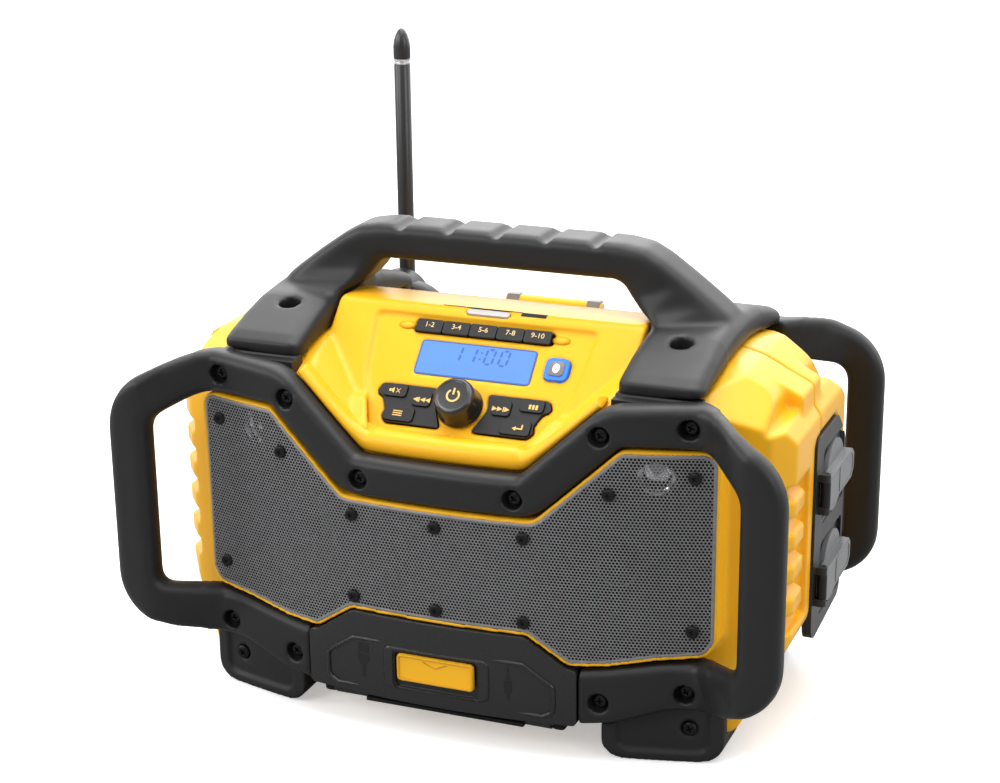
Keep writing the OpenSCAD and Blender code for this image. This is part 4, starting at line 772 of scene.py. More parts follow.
def cellMesh(look):
    # one hexagon of sheet with its hole and the wall of the hole
    bm = bmesh.new()

    def spot(radius, degrees):
        angle = math.radians(degrees)
        return bm.verts.new((radius * math.cos(angle), radius * math.sin(angle), 0))
    outer = [spot(look["pitch"] / math.sqrt(3), 30 + 60 * k) for k in range(6)]
    ring = [spot(look["hole"] / 2, 30 * k) for k in range(12)]
    back = [bm.verts.new((v.co.x, v.co.y, -look["depth"])) for v in ring]
    for k in range(6):
        near = [ring[(2 * k + step) % 12] for step in (3, 2, 1)]
        bm.faces.new((outer[k], outer[(k + 1) % 6], *near))
    for k in range(12):
        j = (k + 1) % 12
        bm.faces.new((ring[k], ring[j], back[j], back[k]))
    mesh = bpy.data.meshes.new("cell")
    bm.to_mesh(mesh)
    bm.free()
    return mesh


def instancingTree(name, finishName, spin=0.0, merge=0.0):
    # Geometry Nodes: a shape on every point, turned at random, made real and given its finish
    tree = bpy.data.node_groups.new(name, "GeometryNodeTree")
    socket, made, link = tree.interface.new_socket, tree.nodes.new, tree.links.new
    socket("Places", in_out="INPUT", socket_type="NodeSocketGeometry")
    socket("Shape", in_out="INPUT", socket_type="NodeSocketObject")
    socket("Size", in_out="INPUT", socket_type="NodeSocketFloat").default_value = 1.0
    socket("Seed", in_out="INPUT", socket_type="NodeSocketInt").default_value = 3
    socket("Result", in_out="OUTPUT", socket_type="NodeSocketGeometry")
    start, end = made("NodeGroupInput"), made("NodeGroupOutput")
    shape, place = made("GeometryNodeObjectInfo"), made("GeometryNodeInstanceOnPoints")
    real, paint = made("GeometryNodeRealizeInstances"), made("GeometryNodeSetMaterial")
    paint.inputs["Material"].default_value = finish[finishName]
    link(start.outputs["Shape"], shape.inputs["Object"])
    link(start.outputs["Places"], place.inputs["Points"])
    link(shape.outputs["Geometry"], place.inputs["Instance"])
    link(start.outputs["Size"], place.inputs["Scale"])
    last = place.outputs["Instances"]
    if spin:
        turn, pick = made("GeometryNodeRotateInstances"), made("FunctionNodeRandomValue")
        pick.data_type = "FLOAT_VECTOR"
        limits = {"Min": (0, 0, 0), "Max": (0, 0, spin)}
        for entry in pick.inputs:
            if entry.type == "VECTOR" and entry.name in limits:
                entry.default_value = limits[entry.name]
        link(start.outputs["Seed"], pick.inputs["Seed"])
        link(last, turn.inputs["Instances"])
        link(pick.outputs["Value"], turn.inputs["Rotation"])
        last = turn.outputs["Instances"]
    link(last, real.inputs["Geometry"])
    last = real.outputs["Geometry"]
    if merge:
        join = made("GeometryNodeMergeByDistance")
        join.inputs["Distance"].default_value = merge
        link(last, join.inputs["Geometry"])
        last = join.outputs["Geometry"]
    link(last, paint.inputs["Geometry"])
    link(paint.outputs["Geometry"], end.inputs["Result"])
    return tree


def repeated(name, spots, shapeMesh, tree, seed=3):
    # run the tree on the points and return the plain mesh it makes
    points = bpy.data.meshes.new(name + "Points")
    points.from_pydata([tuple(p) for p in spots], [], [])
    shape = bpy.data.objects.new(name + "Shape", shapeMesh)
    holder = bpy.data.objects.new(name + "Holder", points)
    scene.collection.objects.link(shape)
    scene.collection.objects.link(holder)
    run = holder.modifiers.new("run", "NODES")
    values = {"Shape": shape, "Size": 1.0, "Seed": seed}
    run.node_group = tree
    for socket in tree.interface.items_tree:
        if socket.in_out == "INPUT" and socket.name in values:
            run[socket.identifier] = values[socket.name]
    mesh = plainMesh(holder)
    bpy.data.objects.remove(shape)
    mesh.name = name
    return mesh


def bendSheet(mesh, look):
    # lay the flat sheet (x, y = height, z = depth) on the bowed front
    co = np.empty(len(mesh.vertices) * 3)
    mesh.vertices.foreach_get("co", co)
    x, z, w = co.reshape(-1, 3).T
    y = look["front"] + bowedBack(x, look["bow"]) + sheetRelief(x, z, look) + look["lift"] - w
    mesh.vertices.foreach_set("co", np.stack([x, y, z], axis=1).ravel() * mm)
    mesh.update()


def makeGrille(look):
    spots = latticeSpots(look)
    cell = cellMesh(look)
    tree = instancingTree("perforation", "sheet", merge=look["merge"])
    for side, name in ((-1, "grilleSheetLeft"), (1, "grilleSheetRight")):
        half = spots[(spots[:, 0] * side > 0) | ((spots[:, 0] == 0) & (side > 0))]
        mesh = repeated(name, [(x, z, 0) for x, z in half], cell, tree)
        bendSheet(mesh, look)
        mesh.shade_smooth()
        mesh.set_sharp_from_angle(angle=math.radians(40))
        pieceFrom(name, mesh, "speaker_grille", ("speaker_grille",) if side < 0 else ())
        print(name, "holes:", len(half), "faces:", len(mesh.polygons))

    def rim(bm):
        joinRings(bm, [[bm.verts.new(sheetPoint(x, z, w)) for x, z in insetOutline(sheetEdge, off)]
            for off, w in look["rimSection"]])
        bm.normal_update()
    drawPiece("grilleRim", "sheet", "speaker_grille", rim, angle=50)


makeGrille(grille)

# painted shade on the casing: near-black faces behind the grille and on the lugs beside the door stand in for the
# shade there

paint = {"finish": "blackPaint", "lugTop": 33.0, "lugY": -108.0, "nearTop": 50.0, "nearY": -80.0, "reach": 175,
    "margin": 0.2, "wellY": -123.2}


def cutAlong(mesh, look):
    # edges on the planes that bound the lugs, so that the painted shade ends in a clean line
    bm = bmesh.new()
    bm.from_mesh(mesh)
    for spot, way in (((0, look["lugY"], 0), (0, 1, 0)), ((0, 0, look["lugTop"]), (0, 0, 1))):
        near = []
        for face in bm.faces:
            middle = face.calc_center_median() / mm
            if middle.z < look["nearTop"] and middle.y < look["nearY"]:
                near.append(face)
        verts = list(dict.fromkeys(v for f in near for v in f.verts))
        edges = list(dict.fromkeys(e for f in near for e in f.edges))
        bmesh.ops.bisect_plane(bm, geom=verts + edges + near, plane_co=Vector(spot) * mm, plane_no=way)
    bm.to_mesh(mesh)
    bm.free()


# faces that get painted shade: the lugs low at the front and the casing behind the grille
def isShadePainted(spot, look):
    if spot.z < look["lugTop"] and spot.y < look["lugY"]:
        return True
    if spot.y > look["nearY"] or abs(spot.x) > look["reach"]:
        return False
    within = insideEdge(np.array([[spot.x, spot.z]]), sheetEdge, look["margin"])[0]
    return bool(within) and spot.y - bowedBack(spot.x, faces["casingBow"]) > look["wellY"]


def paintShadeOnCasing(mesh, look):
    cutAlong(mesh, look)
    mesh.materials.append(finish[look["finish"]])
    painted = [face for face in mesh.polygons if isShadePainted(face.center / mm, look)]
    for face in painted:
        face.material_index = 1
    print("casing faces painted:", len(painted))


paintShadeOnCasing(bpy.data.objects["front_housingPiece"].data, paint)

# screws: a button head with a sunk cross, set by Geometry Nodes on the CAD's own screw places

screwSets = {
    "frame_screws": {"height": 0.0032, "recess": 0.52, "seed": 5},
    "handle_screws": {"height": 0.0032, "recess": 0.52, "seed": 8},
    "grille_screws": {"height": 0.0019, "recess": 0.5, "seed": 2, "sunk": 0.0007},
}
# the cross by its reach and depth, then the head by its share of the radius and of the height
screwShape = {"sides": 32, "cross": [(0.55, 0.62), (0.86, 0.5)], "lip": 0.02, "waist": 0.42,
    "head": [(0.62, 0), (0.82, 0.1), (0.95, 0.3), (1, 0.55), (1, 1)]}


def screwMesh(radius, height, recess):
    # head only, top at height 0, looking along z
    bm = bmesh.new()
    sides, waist = screwShape["sides"], screwShape["waist"]

    def ringAt(z, scale, lobed):
        ring = []
        for k in range(sides):
            angle = 2 * math.pi * k / sides
            r = recess * (waist + (1 - waist) * abs(math.cos(angle * 2)) ** 3) * scale if lobed else scale
            ring.append(bm.verts.new((r * math.cos(angle), r * math.sin(angle), z)))
        return ring
    rings = [ringAt(-height * deep, share, True) for share, deep in screwShape["cross"]]
    rings.append(ringAt(-screwShape["lip"] * radius, 1.0, True))
    rings += [ringAt(-height * deep, radius * share, False) for share, deep in screwShape["head"]]
    joinRings(bm, rings)
    bm.faces.new(rings[0][::-1])
    bm.faces.new(rings[-1])
    bmesh.ops.recalc_face_normals(bm, faces=bm.faces)
    mesh = bpy.data.meshes.new("screwHead")
    bm.to_mesh(mesh)
    bm.free()
    return mesh


def solidsOf(node):
    # the low and high corner of each separate solid of a node
    bm = bmesh.new()
    bm.from_mesh(mergedMesh(node))
    left = set(bm.verts)
    boxes = []
    while left:
        heap = [left.pop()]
        low, high = heap[0].co.copy(), heap[0].co.copy()
        while heap:
            vert = heap.pop()
            low = Vector(map(min, low, vert.co))
            high = Vector(map(max, high, vert.co))
            for edge in vert.link_edges:
                other = edge.other_vert(vert)
                if other in left:
                    left.discard(other)
                    heap.append(other)
        boxes.append((low, high))
    bm.free()
    return sorted(boxes, key=lambda box: tuple(box[0]))


screwTurns = {
    "up": Matrix(((1, 0, 0), (0, 1, 0), (0, 0, 1))),
    "front": Matrix(((1, 0, 0), (0, 0, -1), (0, 1, 0))),
    "back": Matrix(((-1, 0, 0), (0, 0, 1), (0, 1, 0))),
}


def makeScrews(node, look):
    tree = instancingTree(node + "Tree", "screw", spin=2 * math.pi)
    groups = {}
    for low, high in solidsOf(node):
        middle = (low + high) / 2
        radius = (high.x - low.x) / 2
        if node == "handle_screws":
            way, spot = "up", (middle.x, middle.y, high.z)
        elif middle.y < 0:
            way, spot = "front", (middle.x, middle.z, -low.y - look.get("sunk", 0))
        else:
            way, spot = "back", (-middle.x, middle.z, high.y)
        groups.setdefault(way, []).append((spot, radius))
    bm = bmesh.new()
    for way, places in groups.items():
        radius = places[0][1]
        head = screwMesh(radius, look["height"], radius * look["recess"])
        mesh = repeated(node + way, [spot for spot, r in places], head, tree, look["seed"])
        mesh.transform(screwTurns[way].to_4x4())
        bm.from_mesh(mesh)
    pieceFrom(node + "Heads", finishMesh(node + "Heads", bm, "screw", 35), node, (node,))
    print(node, "heads:", sum(map(len, groups.values())))


for node, look in screwSets.items():
    makeScrews(node, look)

# display with its digits

display = {
    "u": 0.0, "v": 48.5, "width": 78.4, "height": 24.4, "corner": 2.6, "back": -1.8, "glass": -0.06,
    "rim": 0.9, "rimBack": -0.4,
    "time": [("1", -13.6), ("1", -3.8), ("0", 8.6), ("0", 18.4)], "timeV": 53.0,
    "digit": {"width": 5.4, "height": 10.4, "thick": 1.5}, "lean": 0.1,
    "dotsV": (50.8, 55.2), "dotsU": 2.6, "dot": 1.3,
    "ghostV": (43.2, 39.8), "ghostU": -32, "ghostStep": 4.0, "ghosts": 17, "ghostTop": -0.03,
    "ghost": {"width": 2.0, "height": 2.4, "thick": 0.4},
}
digitBars = {"1": "bc", "0": "abcdef", "8": "abcdefg"}


def addDigit(bm, digit, u, v, look, low, high):
    # seven bars with pointed ends
    w, h, t = look["width"] / 2, look["height"] / 2, look["thick"] / 2
    bars = {"a": ((-w, h), (w, h)), "g": ((-w, 0), (w, 0)), "d": ((-w, -h), (w, -h)), "f": ((-w, 0), (-w, h)),
        "b": ((w, 0), (w, h)), "e": ((-w, -h), (-w, 0)), "c": ((w, -h), (w, 0))}
    for bar in digitBars[digit]:
        (u0, v0), (u1, v1) = bars[bar]
        if v0 == v1:
            points = [(u0 + t * 1.3, v0), (u0 + 2.2 * t, v0 - t), (u1 - 2.2 * t, v0 - t),
                (u1 - t * 1.3, v0), (u1 - 2.2 * t, v0 + t), (u0 + 2.2 * t, v0 + t)]
        else:
            points = [(u0, v0 + t * 0.4), (u0 + t, v0 + 1.4 * t), (u0 + t, v1 - 1.4 * t),
                (u0, v1 - t * 0.4), (u0 - t, v1 - 1.4 * t), (u0 - t, v0 + 1.4 * t)]
        leant = [(u + across + display["lean"] * up, v + up) for across, up in points]
        addSlab(bm, leant, low, high, onPanel)


def makeDisplay(look):
    outline = rectangle(look["u"], look["v"], look["width"], look["height"], look["corner"])
    glass = look["glass"]
    drawPiece("displayGlass", "displayBlue", "lcd_window",
        lambda bm: addSlab(bm, outline, look["back"], glass, onPanel), ("lcd_window",))

    def edge(bm):
        outer, inner = insetOutline(outline, 0), insetOutline(outline, look["rim"])
        loops = [[bm.verts.new(onPanel(u, v, w)) for u, v in line]
            for line, w in ((outer, look["rimBack"]), (outer, 0), (inner, 0), (inner, look["rimBack"]))]
        joinRings(bm, loops + [loops[0]])
    drawPiece("displayEdge", "displayRim", "lcd_window", edge)

    def digits(bm):
        for digit, u in look["time"]:
            addDigit(bm, digit, u, look["timeV"], look["digit"], glass, 0.0)
        for v in look["dotsV"]:
            u = look["dotsU"] + look["lean"] * (v - look["timeV"])
            addSlab(bm, rectangle(u, v, look["dot"], look["dot"]), glass, 0.0, onPanel)
    drawPiece("displayDigits", "digit", "lcd_window", digits)

    def ghosts(bm):
        for v in look["ghostV"]:
            for k in range(look["ghosts"]):
                u = look["ghostU"] + look["ghostStep"] * k
                addDigit(bm, "8", u, v, look["ghost"], glass, look["ghostTop"])
    drawPiece("displayGhosts", "ghost", "lcd_window", ghosts)


makeDisplay(display)

# legends on the keys

legend = {
    "low": 2.3, "high": 2.5,
    "preset": {"low": 2.1, "high": 2.26, "v": 70.3, "step": 18.4, "size": 5.0, "bold": 0.016},
    "skip": {"v": 17.2, "size": 3.4, "arrows": (22.6, 26.0), "bar": 28.4, "barWidth": 0.8, "last": 30.8},
    "menu": {"u": -40, "v": (7.7, 6.2, 4.7), "size": (6.4, 0.7)},
    "mode": {"u": (45.0, 47.2, 49.4), "v": 21.0, "size": (1.5, 3.2, 0.3)},
    "magnet": (-49.4, 21.6, 1.3, 1.8), "horn": [(-48.5, 20.9), (-46.7, 19.6), (-46.7, 23.6), (-48.5, 22.3)],
    "cross": {"u": (-45.2, -42.6), "v": 21.6, "half": 1.5, "line": 0.35},
    "enterLine": [(44.0, 5.0), (44.0, 8.4), (43.1, 8.4), (43.1, 5.9), (39.6, 5.9), (39.6, 5.0)],
    "enterTip": [(37.2, 5.45), (39.6, 3.9), (39.6, 7.0)],
}


def makePresetNumbers(look):
    for k in range(1, 6):
        def draw(bm):
            addText(bm, f"{2 * k - 1}-{2 * k}", look["size"], (k - 3) * look["step"], look["v"], look["low"],
                look["high"], onPanel, look["bold"])
        drawPiece(f"presetNumber{k}", "paleGold", f"preset_key_{k}", draw)


def arrow(u, v, size, way):
    half = size / 2
    points = [(u - way * half, v - half), (u + way * half, v), (u - way * half, v + half)]
    return points if way > 0 else points[::-1]


def makeKeyMarks(look):
    def slab(bm, outline):
        addSlab(bm, outline, look["low"], look["high"], onPanel)

    def skip(bm, way):
        mark = look["skip"]
        for u in mark["arrows"]:
            slab(bm, arrow(way * u, mark["v"], mark["size"], way))
        slab(bm, rectangle(way * mark["bar"], mark["v"], mark["barWidth"], mark["size"]))
        slab(bm, arrow(way * mark["last"], mark["v"], mark["size"], way))

    def mute(bm):
        slab(bm, rectangle(*look["magnet"]))
        slab(bm, look["horn"])
        cross = look["cross"]
        left, right = cross["u"]
        for way in (1, -1):
            start, end = cross["v"] - way * cross["half"], cross["v"] + way * cross["half"]
            slab(bm, [(left, start - cross["line"]), (right, end - cross["line"]), (right, end + cross["line"]),
                (left, start + cross["line"])])

    def menu(bm):
        for v in look["menu"]["v"]:
            slab(bm, rectangle(look["menu"]["u"], v, *look["menu"]["size"]))

    def mode(bm):
        for u in look["mode"]["u"]:
            slab(bm, rectangle(u, look["mode"]["v"], *look["mode"]["size"]))

    def enter(bm):
        slab(bm, look["enterLine"])
        slab(bm, look["enterTip"])
    marks = {"next": lambda bm: skip(bm, 1), "previous": lambda bm: skip(bm, -1), "mute": mute, "menu": menu,
        "mode": mode, "enter": enter}
    for name, draw in marks.items():
        drawPiece("keyMark_" + name, "gold", "key_" + name, draw)


makePresetNumbers(legend["preset"])
makeKeyMarks(legend)

# wireless button: lit rim, grey cap and a plain wave mark

wireless = {
    "u": 54.8, "v": 49.0, "cap": 10.2, "corner": 2.6, "capLow": 1.9, "capTop": 2.9, "chamfer": 0.5,
    "oval": (2.3, 3.3), "ovalSides": 28, "ovalLow": 2.8, "ovalTop": 2.98,
    "waves": (0.7, 1.5), "waveV": -0.9, "waveFrom": 40, "waveStep": 10, "line": 0.4, "dot": 0.35, "dotV": -1.1,
    "waveLow": 2.95, "waveTop": 3.05,
}


def makeWireless(look):
    u0, v0 = look["u"], look["v"]
    low, top = look["waveLow"], look["waveTop"]
    cap = rectangle(u0, v0, look["cap"], look["cap"], look["corner"])
    drawPiece("wirelessCap", "capGrey", "wireless_button",
        lambda bm: addSlab(bm, cap, look["capLow"], look["capTop"], onPanel, look["chamfer"]))
    oval = [(u0 + look["oval"][0] * u, v0 + look["oval"][1] * v) for u, v in circle(0, 0, 1, look["ovalSides"])]
    drawPiece("wirelessOval", "white", "wireless_button",
        lambda bm: addSlab(bm, oval, look["ovalLow"], look["ovalTop"], onPanel))

    def waves(bm):
        for r in look["waves"]:
            angles = [math.radians(look["waveFrom"] + look["waveStep"] * k) for k in range(11)]
            line = [(u0 + r * math.cos(a), v0 + look["waveV"] + r * math.sin(a)) for a in angles]
            addBead(bm, line, look["line"], low, top, onPanel, close=False)
        addSlab(bm, circle(u0, v0 + look["dotV"], look["dot"], 12), low, top, onPanel)
    drawPiece("wirelessWaves", "pictogram", "wireless_button", waves)


makeWireless(wireless)

# volume knob, turned, with a ring round its top and the on-off mark

knob = {
    "v": 15.5, "sides": 96,
    "profile": [(0, 1.7), (14.3, 1.7), (14.8, 2.2), (14.7, 3.4), (14.1, 4.6), (13.7, 6.0), (13.2, 14.6),
        (12.9, 16.2), (12.3, 17.4), (11.5, 18.1), (10.9, 18.3), (10.5, 18.3), (10.1, 18.05), (9.9, 17.85),
        (9.6, 17.8), (0, 17.9)],
    "mark": {"radius": 3.9, "line": 1.25, "gap": 34, "steps": 40, "low": 17.8, "top": 17.98, "barV": 2.9,
        "bar": 4.6},
}


def makeKnob(look):
    mark = look["mark"]

    def onKnob(u, v, w=0.0):
        return onPanel(u, look["v"] + v, w)

    def draw(bm):
        outer, inner = mark["radius"] + mark["line"] / 2, mark["radius"] - mark["line"] / 2
        sweep = (360 - 2 * mark["gap"]) / mark["steps"]
        angles = [math.radians(90 + mark["gap"] + k * sweep) for k in range(mark["steps"] + 1)]
        points = [(outer * math.cos(a), outer * math.sin(a)) for a in angles]
        points += [(inner * math.cos(a), inner * math.sin(a)) for a in reversed(angles)]
        addSlab(bm, points, mark["low"], mark["top"], onKnob)
        addSlab(bm, rectangle(0, mark["barV"], mark["line"], mark["bar"]), mark["low"], mark["top"], onKnob)
    drawPiece("volumeKnob", "knob", "volume_knob",
        lambda bm: addLathe(bm, look["profile"], onKnob, look["sides"]), ("volume_knob",), 50)
    drawPiece("knobMark", "gold", "volume_knob", draw)


makeKnob(knob)

# device door: raised line, plate round the latch and plug marks

door = {
    "ridge": [(-70, 29.3), (70, 29.3), (76.8, 32.5), (76.8, 49.5), (57, 63.0), (-57, 63.0), (-76.8, 49.5),
        (-76.8, 32.5)],
    "ridgeCorner": 5, "ridgeWidth": 3.0, "ridgeTop": 1.5, "sunk": -0.4,
    "plate": (0, 47.7, 72, 28.6, 6), "opening": (0, 47.0, 58, 25.6, 3), "plateTop": 1.0, "plateChamfer": 0.9,
    "wall": -0.2, "markLow": -0.05, "markTop": 0.12,
    "marks": [
        rectangle(-50.4, 56.6, 7.4, 6.6, 0.4),
        [(-54.6, 52.4), (-54.6, 48.0), (-52.6, 44.6), (-51.9, 44.6), (-51.9, 36.6), (-49.3, 36.6), (-49.3, 44.6),
            (-48.6, 44.6), (-46.2, 48.0), (-46.2, 52.4)],
        rectangle(48.1, 58.4, 1.3, 3.2, 0.5), rectangle(48.1, 55.4, 1.9, 2.0), rectangle(48.1, 52.6, 2.6, 2.6),
        rectangle(48.1, 46.6, 5.2, 8.4, 0.8), rectangle(48.1, 39.8, 1.8, 4.6, 0.5),
    ],
    "latchRim": {"outline": (0, 49, 50.2, 16.2, 2.2), "width": 1.9, "low": -0.1, "top": 0.85},
    "latchArrow": {"line": [(-8, 55.0), (0, 51.6), (8, 55.0)], "width": 0.7, "low": -0.05, "top": 0.35},
}


def addFrame(bm, look, place):
    # flat ring between two outlines with the same number of points
    outer, inner = rectangle(*look["plate"]), rectangle(*look["opening"])
    low, high, chamfer = look["sunk"], look["plateTop"], look["plateChamfer"]
    lines = [(outer, low), (outer, high - chamfer), (insetOutline(outer, chamfer), high),
        (insetOutline(inner, look["wall"]), high), (inner, low)]
    loops = [[bm.verts.new(place(u, v, w)) for u, v in line] for line, w in lines]
    joinRings(bm, loops + [loops[0]])


def makeDoor(look):
    ridge = roundOutline(look["ridge"], look["ridgeCorner"], 5)
    drawPiece("doorRidge", "doorBlack", "device_door",
        lambda bm: addBead(bm, ridge, look["ridgeWidth"], look["sunk"], look["ridgeTop"], onDoor), angle=60)
    drawPiece("doorPlate", "doorBlack", "device_door", lambda bm: addFrame(bm, look, onDoor))

    def marks(bm):
        for outline in look["marks"]:
            addSlab(bm, outline, look["markLow"], look["markTop"], onDoor)
    drawPiece("doorPlugMarks", "pictogram", "device_door", marks)

    def latch(bm):
        rim, tip = look["latchRim"], look["latchArrow"]
        addBead(bm, rectangle(*rim["outline"]), rim["width"], rim["low"], rim["top"], onLatch)
        addBead(bm, tip["line"], tip["width"], tip["low"], tip["top"], onLatch, close=False)
    drawPiece("doorLatchRim", "yellow", "device_door_latch", latch, angle=60)


makeDoor(door)

# outlet lids: a raised border on each stiffening plate, and the hinge barrel with its leaf

lids = {
    "heights": {"outlet_lid_upper": 153.0, "outlet_lid_lower": 90.6},
    "border": [(24, -8), (55, -8), (60, -4), (60, 4), (55, 8), (24, 8)], "borderCorner": 2,
    "bead": {"width": 1.2, "low": 6.2, "high": 6.75},
    "axis": (214.5, -3.5),
    "barrel": [(0, -8.2), (2.8, -8.2), (3.15, -7.8), (3.15, 7.8), (2.8, 8.2), (0, 8.2)],
    "leaf": (1.4, 8.6, 16.6, 1.2), "leafLow": 0.32, "leafTop": 6.15, "leafChamfer": 0.4,
}


def makeLidBorders(look):
    for node, z in look["heights"].items():
        line = roundOutline([(u, z + v) for u, v in look["border"]], look["borderCorner"])
        drawPiece(node + "Border", "lidGrey", node,
            lambda bm: addBead(bm, line, place=onSide, **look["bead"]), angle=60)


def makeLidBarrels(look):
    for node, z in look["heights"].items():
        def onPin(u, v, w=0.0):
            return Vector((look["axis"][0] + u, look["axis"][1] + v, z + w)) * mm

        def draw(bm):
            addLathe(bm, look["barrel"], onPin, 32)
            u, width, height, corner = look["leaf"]
            addSlab(bm, rectangle(u, z, width, height, corner), look["leafLow"], look["leafTop"], onSide,
                look["leafChamfer"])
        drawPiece(node + "Barrel", "outletDark", node, draw, angle=40)


makeLidBorders(lids)

# antenna: turned mast, metal collar with grooves and bullet tip
# collar and bullet: (radius beyond the mast's, height over the ring)

mast = {
    "x": -128.0, "y": 125.86, "z": 216.0, "ring": 383.0, "radius": 5.7, "sides": 48, "poleCut": 0.6,
    "poleInset": 0.4,
    "hinge": [(0, -5.6), (8.9, -5.6), (9.4, -5.0), (9.4, 5.0), (8.9, 5.6), (0, 5.6)],
    "collar": [(-0.3, 0), (0, 0.3), (0, 1.4), (-0.7, 1.7), (-0.7, 2.2), (0, 2.5), (0, 3.6), (-0.6, 3.9)],
    "bullet": [(0, 3.9), (0.2, 4.4), (0.2, 12), (-0.4, 16.5), (-1.6, 20.5), (-3.2, 23.4), (-4.8, 24.7)],
    "bulletTop": 24.9,
}


def makeMast(look):
    r, top, sides = look["radius"], look["ring"], look["sides"]

    def onMast(u, v, w=0.0):
        return Vector((look["x"] + u, look["y"] + v, w)) * mm

    def onHinge(u, v, w=0.0):
        return Vector((look["x"] - u, look["y"] + w, look["z"] + v)) * mm

    def turned(rows, end):
        return [(0, top + rows[0][1]), *((r + more, top + up) for more, up in rows), (0, top + end)]

    def pole(bm):
        foot, cut, inset = look["z"], look["poleCut"], look["poleInset"]
        addLathe(bm, [(0, foot), (r, foot), (r, top - cut), (r - inset, top), (0, top)], onMast, sides)
        addLathe(bm, look["hinge"], onHinge, sides)
    drawPiece("antennaPole", "antenna", "antenna_mast", pole, ("antenna_mast",), 40)
    collar = turned(look["collar"], look["collar"][-1][1])
    drawPiece("antennaCollar", "chrome", "antenna_tip",
        lambda bm: addLathe(bm, collar, onMast, sides), angle=40)
    bullet = turned(look["bullet"], look["bulletTop"])
    drawPiece("antennaBullet", "antenna", "antenna_tip",
        lambda bm: addLathe(bm, bullet, onMast, sides), ("antenna_tip",), 50)


makeMast(mast)

# rolled bead of the casing under the control panel

lip = {
    # per station: x and z of the frame's edge, the way into the panel, height of the bead and its fill
    "stations": [
        (-101, 227.6, 0.68, 0.73, 6, 0), (-80, 208.1, 0.68, 0.73, 6, 0), (-67, 196.0, 0.68, 0.73, 6.8, 0.4),
        (-59, 188.6, 0.68, 0.73, 9.8, 0.9), (-55.5, 185.2, 0.55, 0.83, 12, 0.9),
        (-52, 183.5, 0.25, 0.97, 13.3, 1), (-46, 183.4, 0.0, 1.0, 13.5, 1), (-20, 183.4, 0.0, 1.0, 13.5, 1),
    ],
    # share of the bead's height, and y
    "section": [(0.0, -108.5), (0.02, -110.4), (0.14, -111.6), (0.32, -112.3), (0.52, -112.2), (0.72, -111.2),
        (0.87, -109.5), (0.96, -107.3), (1.0, -105.0)],
    # behind the bead, the same, and then what a station without fill takes off: height, y and share
    "fill": [(0.99, -102.0, 0.6, 0, 0), (0.95, -98.0, 1, 0, 0.15), (0.86, -94.0, 2.4, 2, 0),
        (0.77, -91.0, 3.4, 5, 0)],
    "steps": 150, "rounds": 6,
}


def makeLip(look):
    half = look["stations"]
    whole = half + [(-x, z, -nx, nz, tall, fill) for x, z, nx, nz, tall, fill in reversed(half)]
    rows = np.array(whole, dtype=float)
    along = np.concatenate([[0], np.cumsum(np.hypot(np.diff(rows[:, 0]), np.diff(rows[:, 1])))])
    fine = np.linspace(0, along[-1], look["steps"])
    rows = np.stack([np.interp(fine, along, column) for column in rows.T], axis=1)
    for turn in range(look["rounds"]):
        rows[1:-1] = (rows[:-2] + 2 * rows[1:-1] + rows[2:]) / 4

    def draw(bm):
        lines = []
        for x, z, nx, nz, tall, fill in rows:
            length = math.hypot(nx, nz)
            nx, nz = nx / length, nz / length
            bare = 1 - fill
            points = [(share * tall, y) for share, y in look["section"]]
            points += [(tall * (share - less * bare) - lower * bare, y - back * bare)
                for share, y, lower, back, less in look["fill"]]
            fall = bowedBack(x, faces["casingBow"])
            lines.append([bm.verts.new(Vector((x + nx * a, y + fall, z + nz * a)) * mm) for a, y in points])
        loops = [[line[k] for line in lines] for k in range(len(lines[0]))]
        joinRings(bm, loops + [loops[0]], close=False)
        bm.faces.new(lines[0])
        bm.faces.new(lines[-1][::-1])
    drawPiece("panelLip", "yellow", "front_housing", draw, angle=70)


# feet of the handle's straps, tucked behind the frame, and a near-black strip under the device door, painted shade
# beneath it

strapToe = {"x": (105.7, 159.0), "section": [(-99.0, 225.0), (-84.0, 225.0), (-84.0, 234.0), (-90.9, 234.0),
    (-91.6, 232.7), (-99.0, 232.7)]}
underDoorShade = {"outline": [(-50, 19.4), (57, 19.4), (57, 21.8), (-50, 21.8)], "low": -9, "top": -1.2,
    "chamfer": 0.3}


def makeStrapToes(look):
    def draw(bm):
        for side in (-1, 1):
            ends = [[bm.verts.new(Vector((x * side, y, z)) * mm) for y, z in look["section"]]
                for x in look["x"]]
            joinRings(bm, ends)
            bm.faces.new(ends[0])
            bm.faces.new(ends[1][::-1])
    drawPiece("strapToes", "charcoal", "handle", draw)


# near-black slab just under the door's bottom edge: painted shade in the gap beneath the door
def makeUnderDoorShade(look):
    drawPiece("doorSill", "blackPaint", "front_housing",
        lambda bm: addSlab(bm, look["outline"], look["low"], look["top"], onDoor, look["chamfer"]))


# pads at the ends of the preset row

pads = {"u": 52.4, "v": 69.6, "long": 6.2, "high": 3.2, "rise": 1.0, "sunk": 0.02, "steps": 5, "sides": 28}


def addPad(bm, u, v, look, place):
    # low rounded pad on a surface
    rings = []
    for step in range(look["steps"]):
        t = step / look["steps"]
        scale, lift = math.cos(t * math.pi / 2), math.sin(t * math.pi / 2)
        ring = []
        for across, up in circle(0, 0, 1, look["sides"]):
            ring.append(bm.verts.new(place(u + look["long"] * scale * across, v + look["high"] * scale * up,
                look["rise"] * lift - look["sunk"])))
        rings.append(ring)
    joinRings(bm, rings)
    tip = bm.verts.new(place(u, v, look["rise"]))
    for k in range(look["sides"]):
        bm.faces.new((rings[-1][k], rings[-1][(k + 1) % look["sides"]], tip))
    bm.faces.new(rings[0][::-1])


def makePads(look):
    def draw(bm):
        for side in (-1, 1):
            addPad(bm, side * look["u"], look["v"], look, onPanel)
    drawPiece("presetPads", "yellow", "front_housing", draw, angle=70)


# bare strips laid on the deck, as the start and end across it and up it, and the width

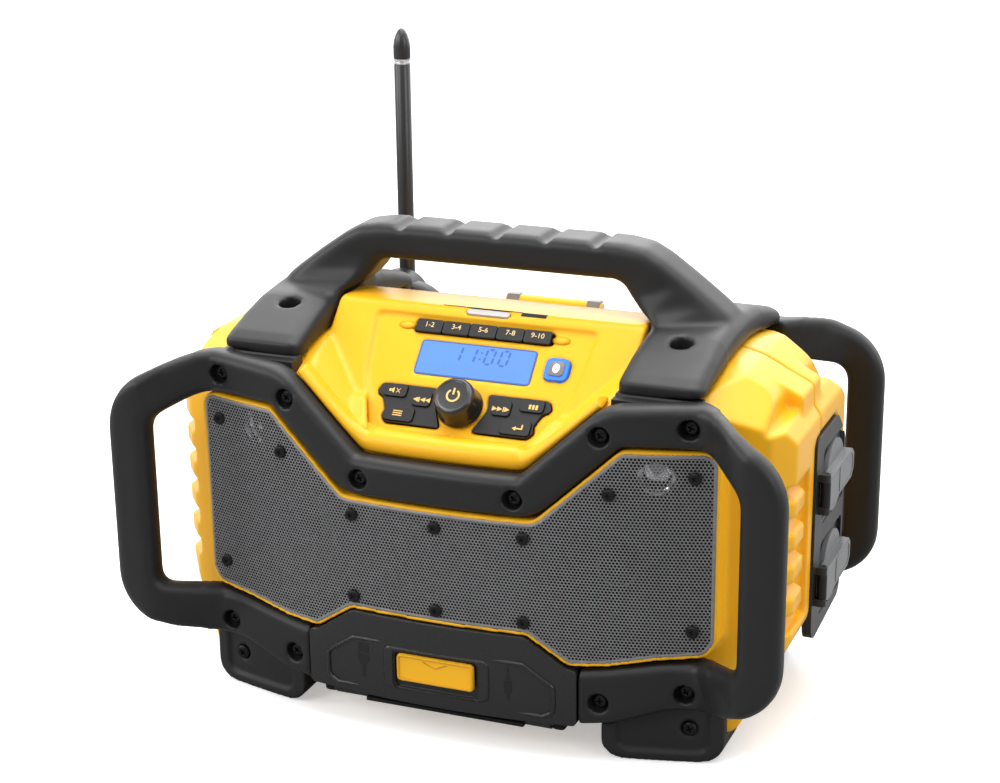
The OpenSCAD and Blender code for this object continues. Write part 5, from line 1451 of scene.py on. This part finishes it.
deck = {"lens": (0.0, -27.4, 250.0), "tilt": 27.0, "above": 30, "steps": 12, "low": -0.2, "top": 0.3,
    "strips": [(-32, 3.6, 22, 3.6, 0.9), (22, 1.6, 39, 1.6, 3.6)]}


def makeDeckStrips(look):
    bm = bmesh.new()
    bm.from_mesh(bpy.data.objects["front_housingPiece"].data)
    bm.from_mesh(bpy.data.objects["rear_housingPiece"].data)
    skin = BVHTree.FromBMesh(bm)
    bm.free()
    tilt = math.radians(look["tilt"])
    along, out = Vector((0, math.cos(tilt), math.sin(tilt))), Vector((0, -math.sin(tilt), math.cos(tilt)))

    def onDeck(u, v, w=0.0):
        start = (Vector(look["lens"]) + Vector((u, 0, 0)) + along * v + out * look["above"]) * mm
        spot = skin.ray_cast(start, -out)[0]
        return (spot if spot else start) + out * w * mm

    def draw(bm):
        for u0, v0, u1, v1, tall in look["strips"]:
            near, far = v0 - tall / 2, v0 + tall / 2
            loops = []
            for v, w in ((near, look["low"]), (near, look["top"]), (far, look["top"]), (far, look["low"])):
                loops.append([bm.verts.new(onDeck(u0 + (u1 - u0) * k / look["steps"], v, w))
                    for k in range(look["steps"] + 1)])
            joinRings(bm, loops + [loops[0]], close=False)
            bm.faces.new([line[0] for line in loops])
            bm.faces.new([line[-1] for line in loops][::-1])
    drawPiece("deckStrips", "keypad", "front_housing", draw)


# grey barrels on both ends of the battery latch, on its own axle

latchBarrel = {"sides": 6,
    "profile": [(0, 24.6), (5.2, 24.6), (5.8, 25.3), (5.8, 33.2), (5.2, 34.0), (0, 34.0)]}


def makeLatchBarrels(look):
    low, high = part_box("latch_pin")
    axisY, axisZ = ((low[k] + high[k]) / 2 / mm for k in (1, 2))

    def draw(bm):
        for side in (-1, 1):
            def onAxle(u, v, w=0.0):
                return Vector((side * w, axisY + side * u, axisZ + v)) * mm
            addLathe(bm, look["profile"], onAxle, look["sides"])
    drawPiece("latchBarrels", "lidGrey", "battery_door_latch", draw, angle=25)


makeLip(lip)
makeStrapToes(strapToe)
makeUnderDoorShade(underDoorShade)
makePads(pads)
makeDeckStrips(deck)
makeLatchBarrels(latchBarrel)
makeLidBarrels(lids)
print("pieces made")

scene.view_settings.view_transform = "Standard"
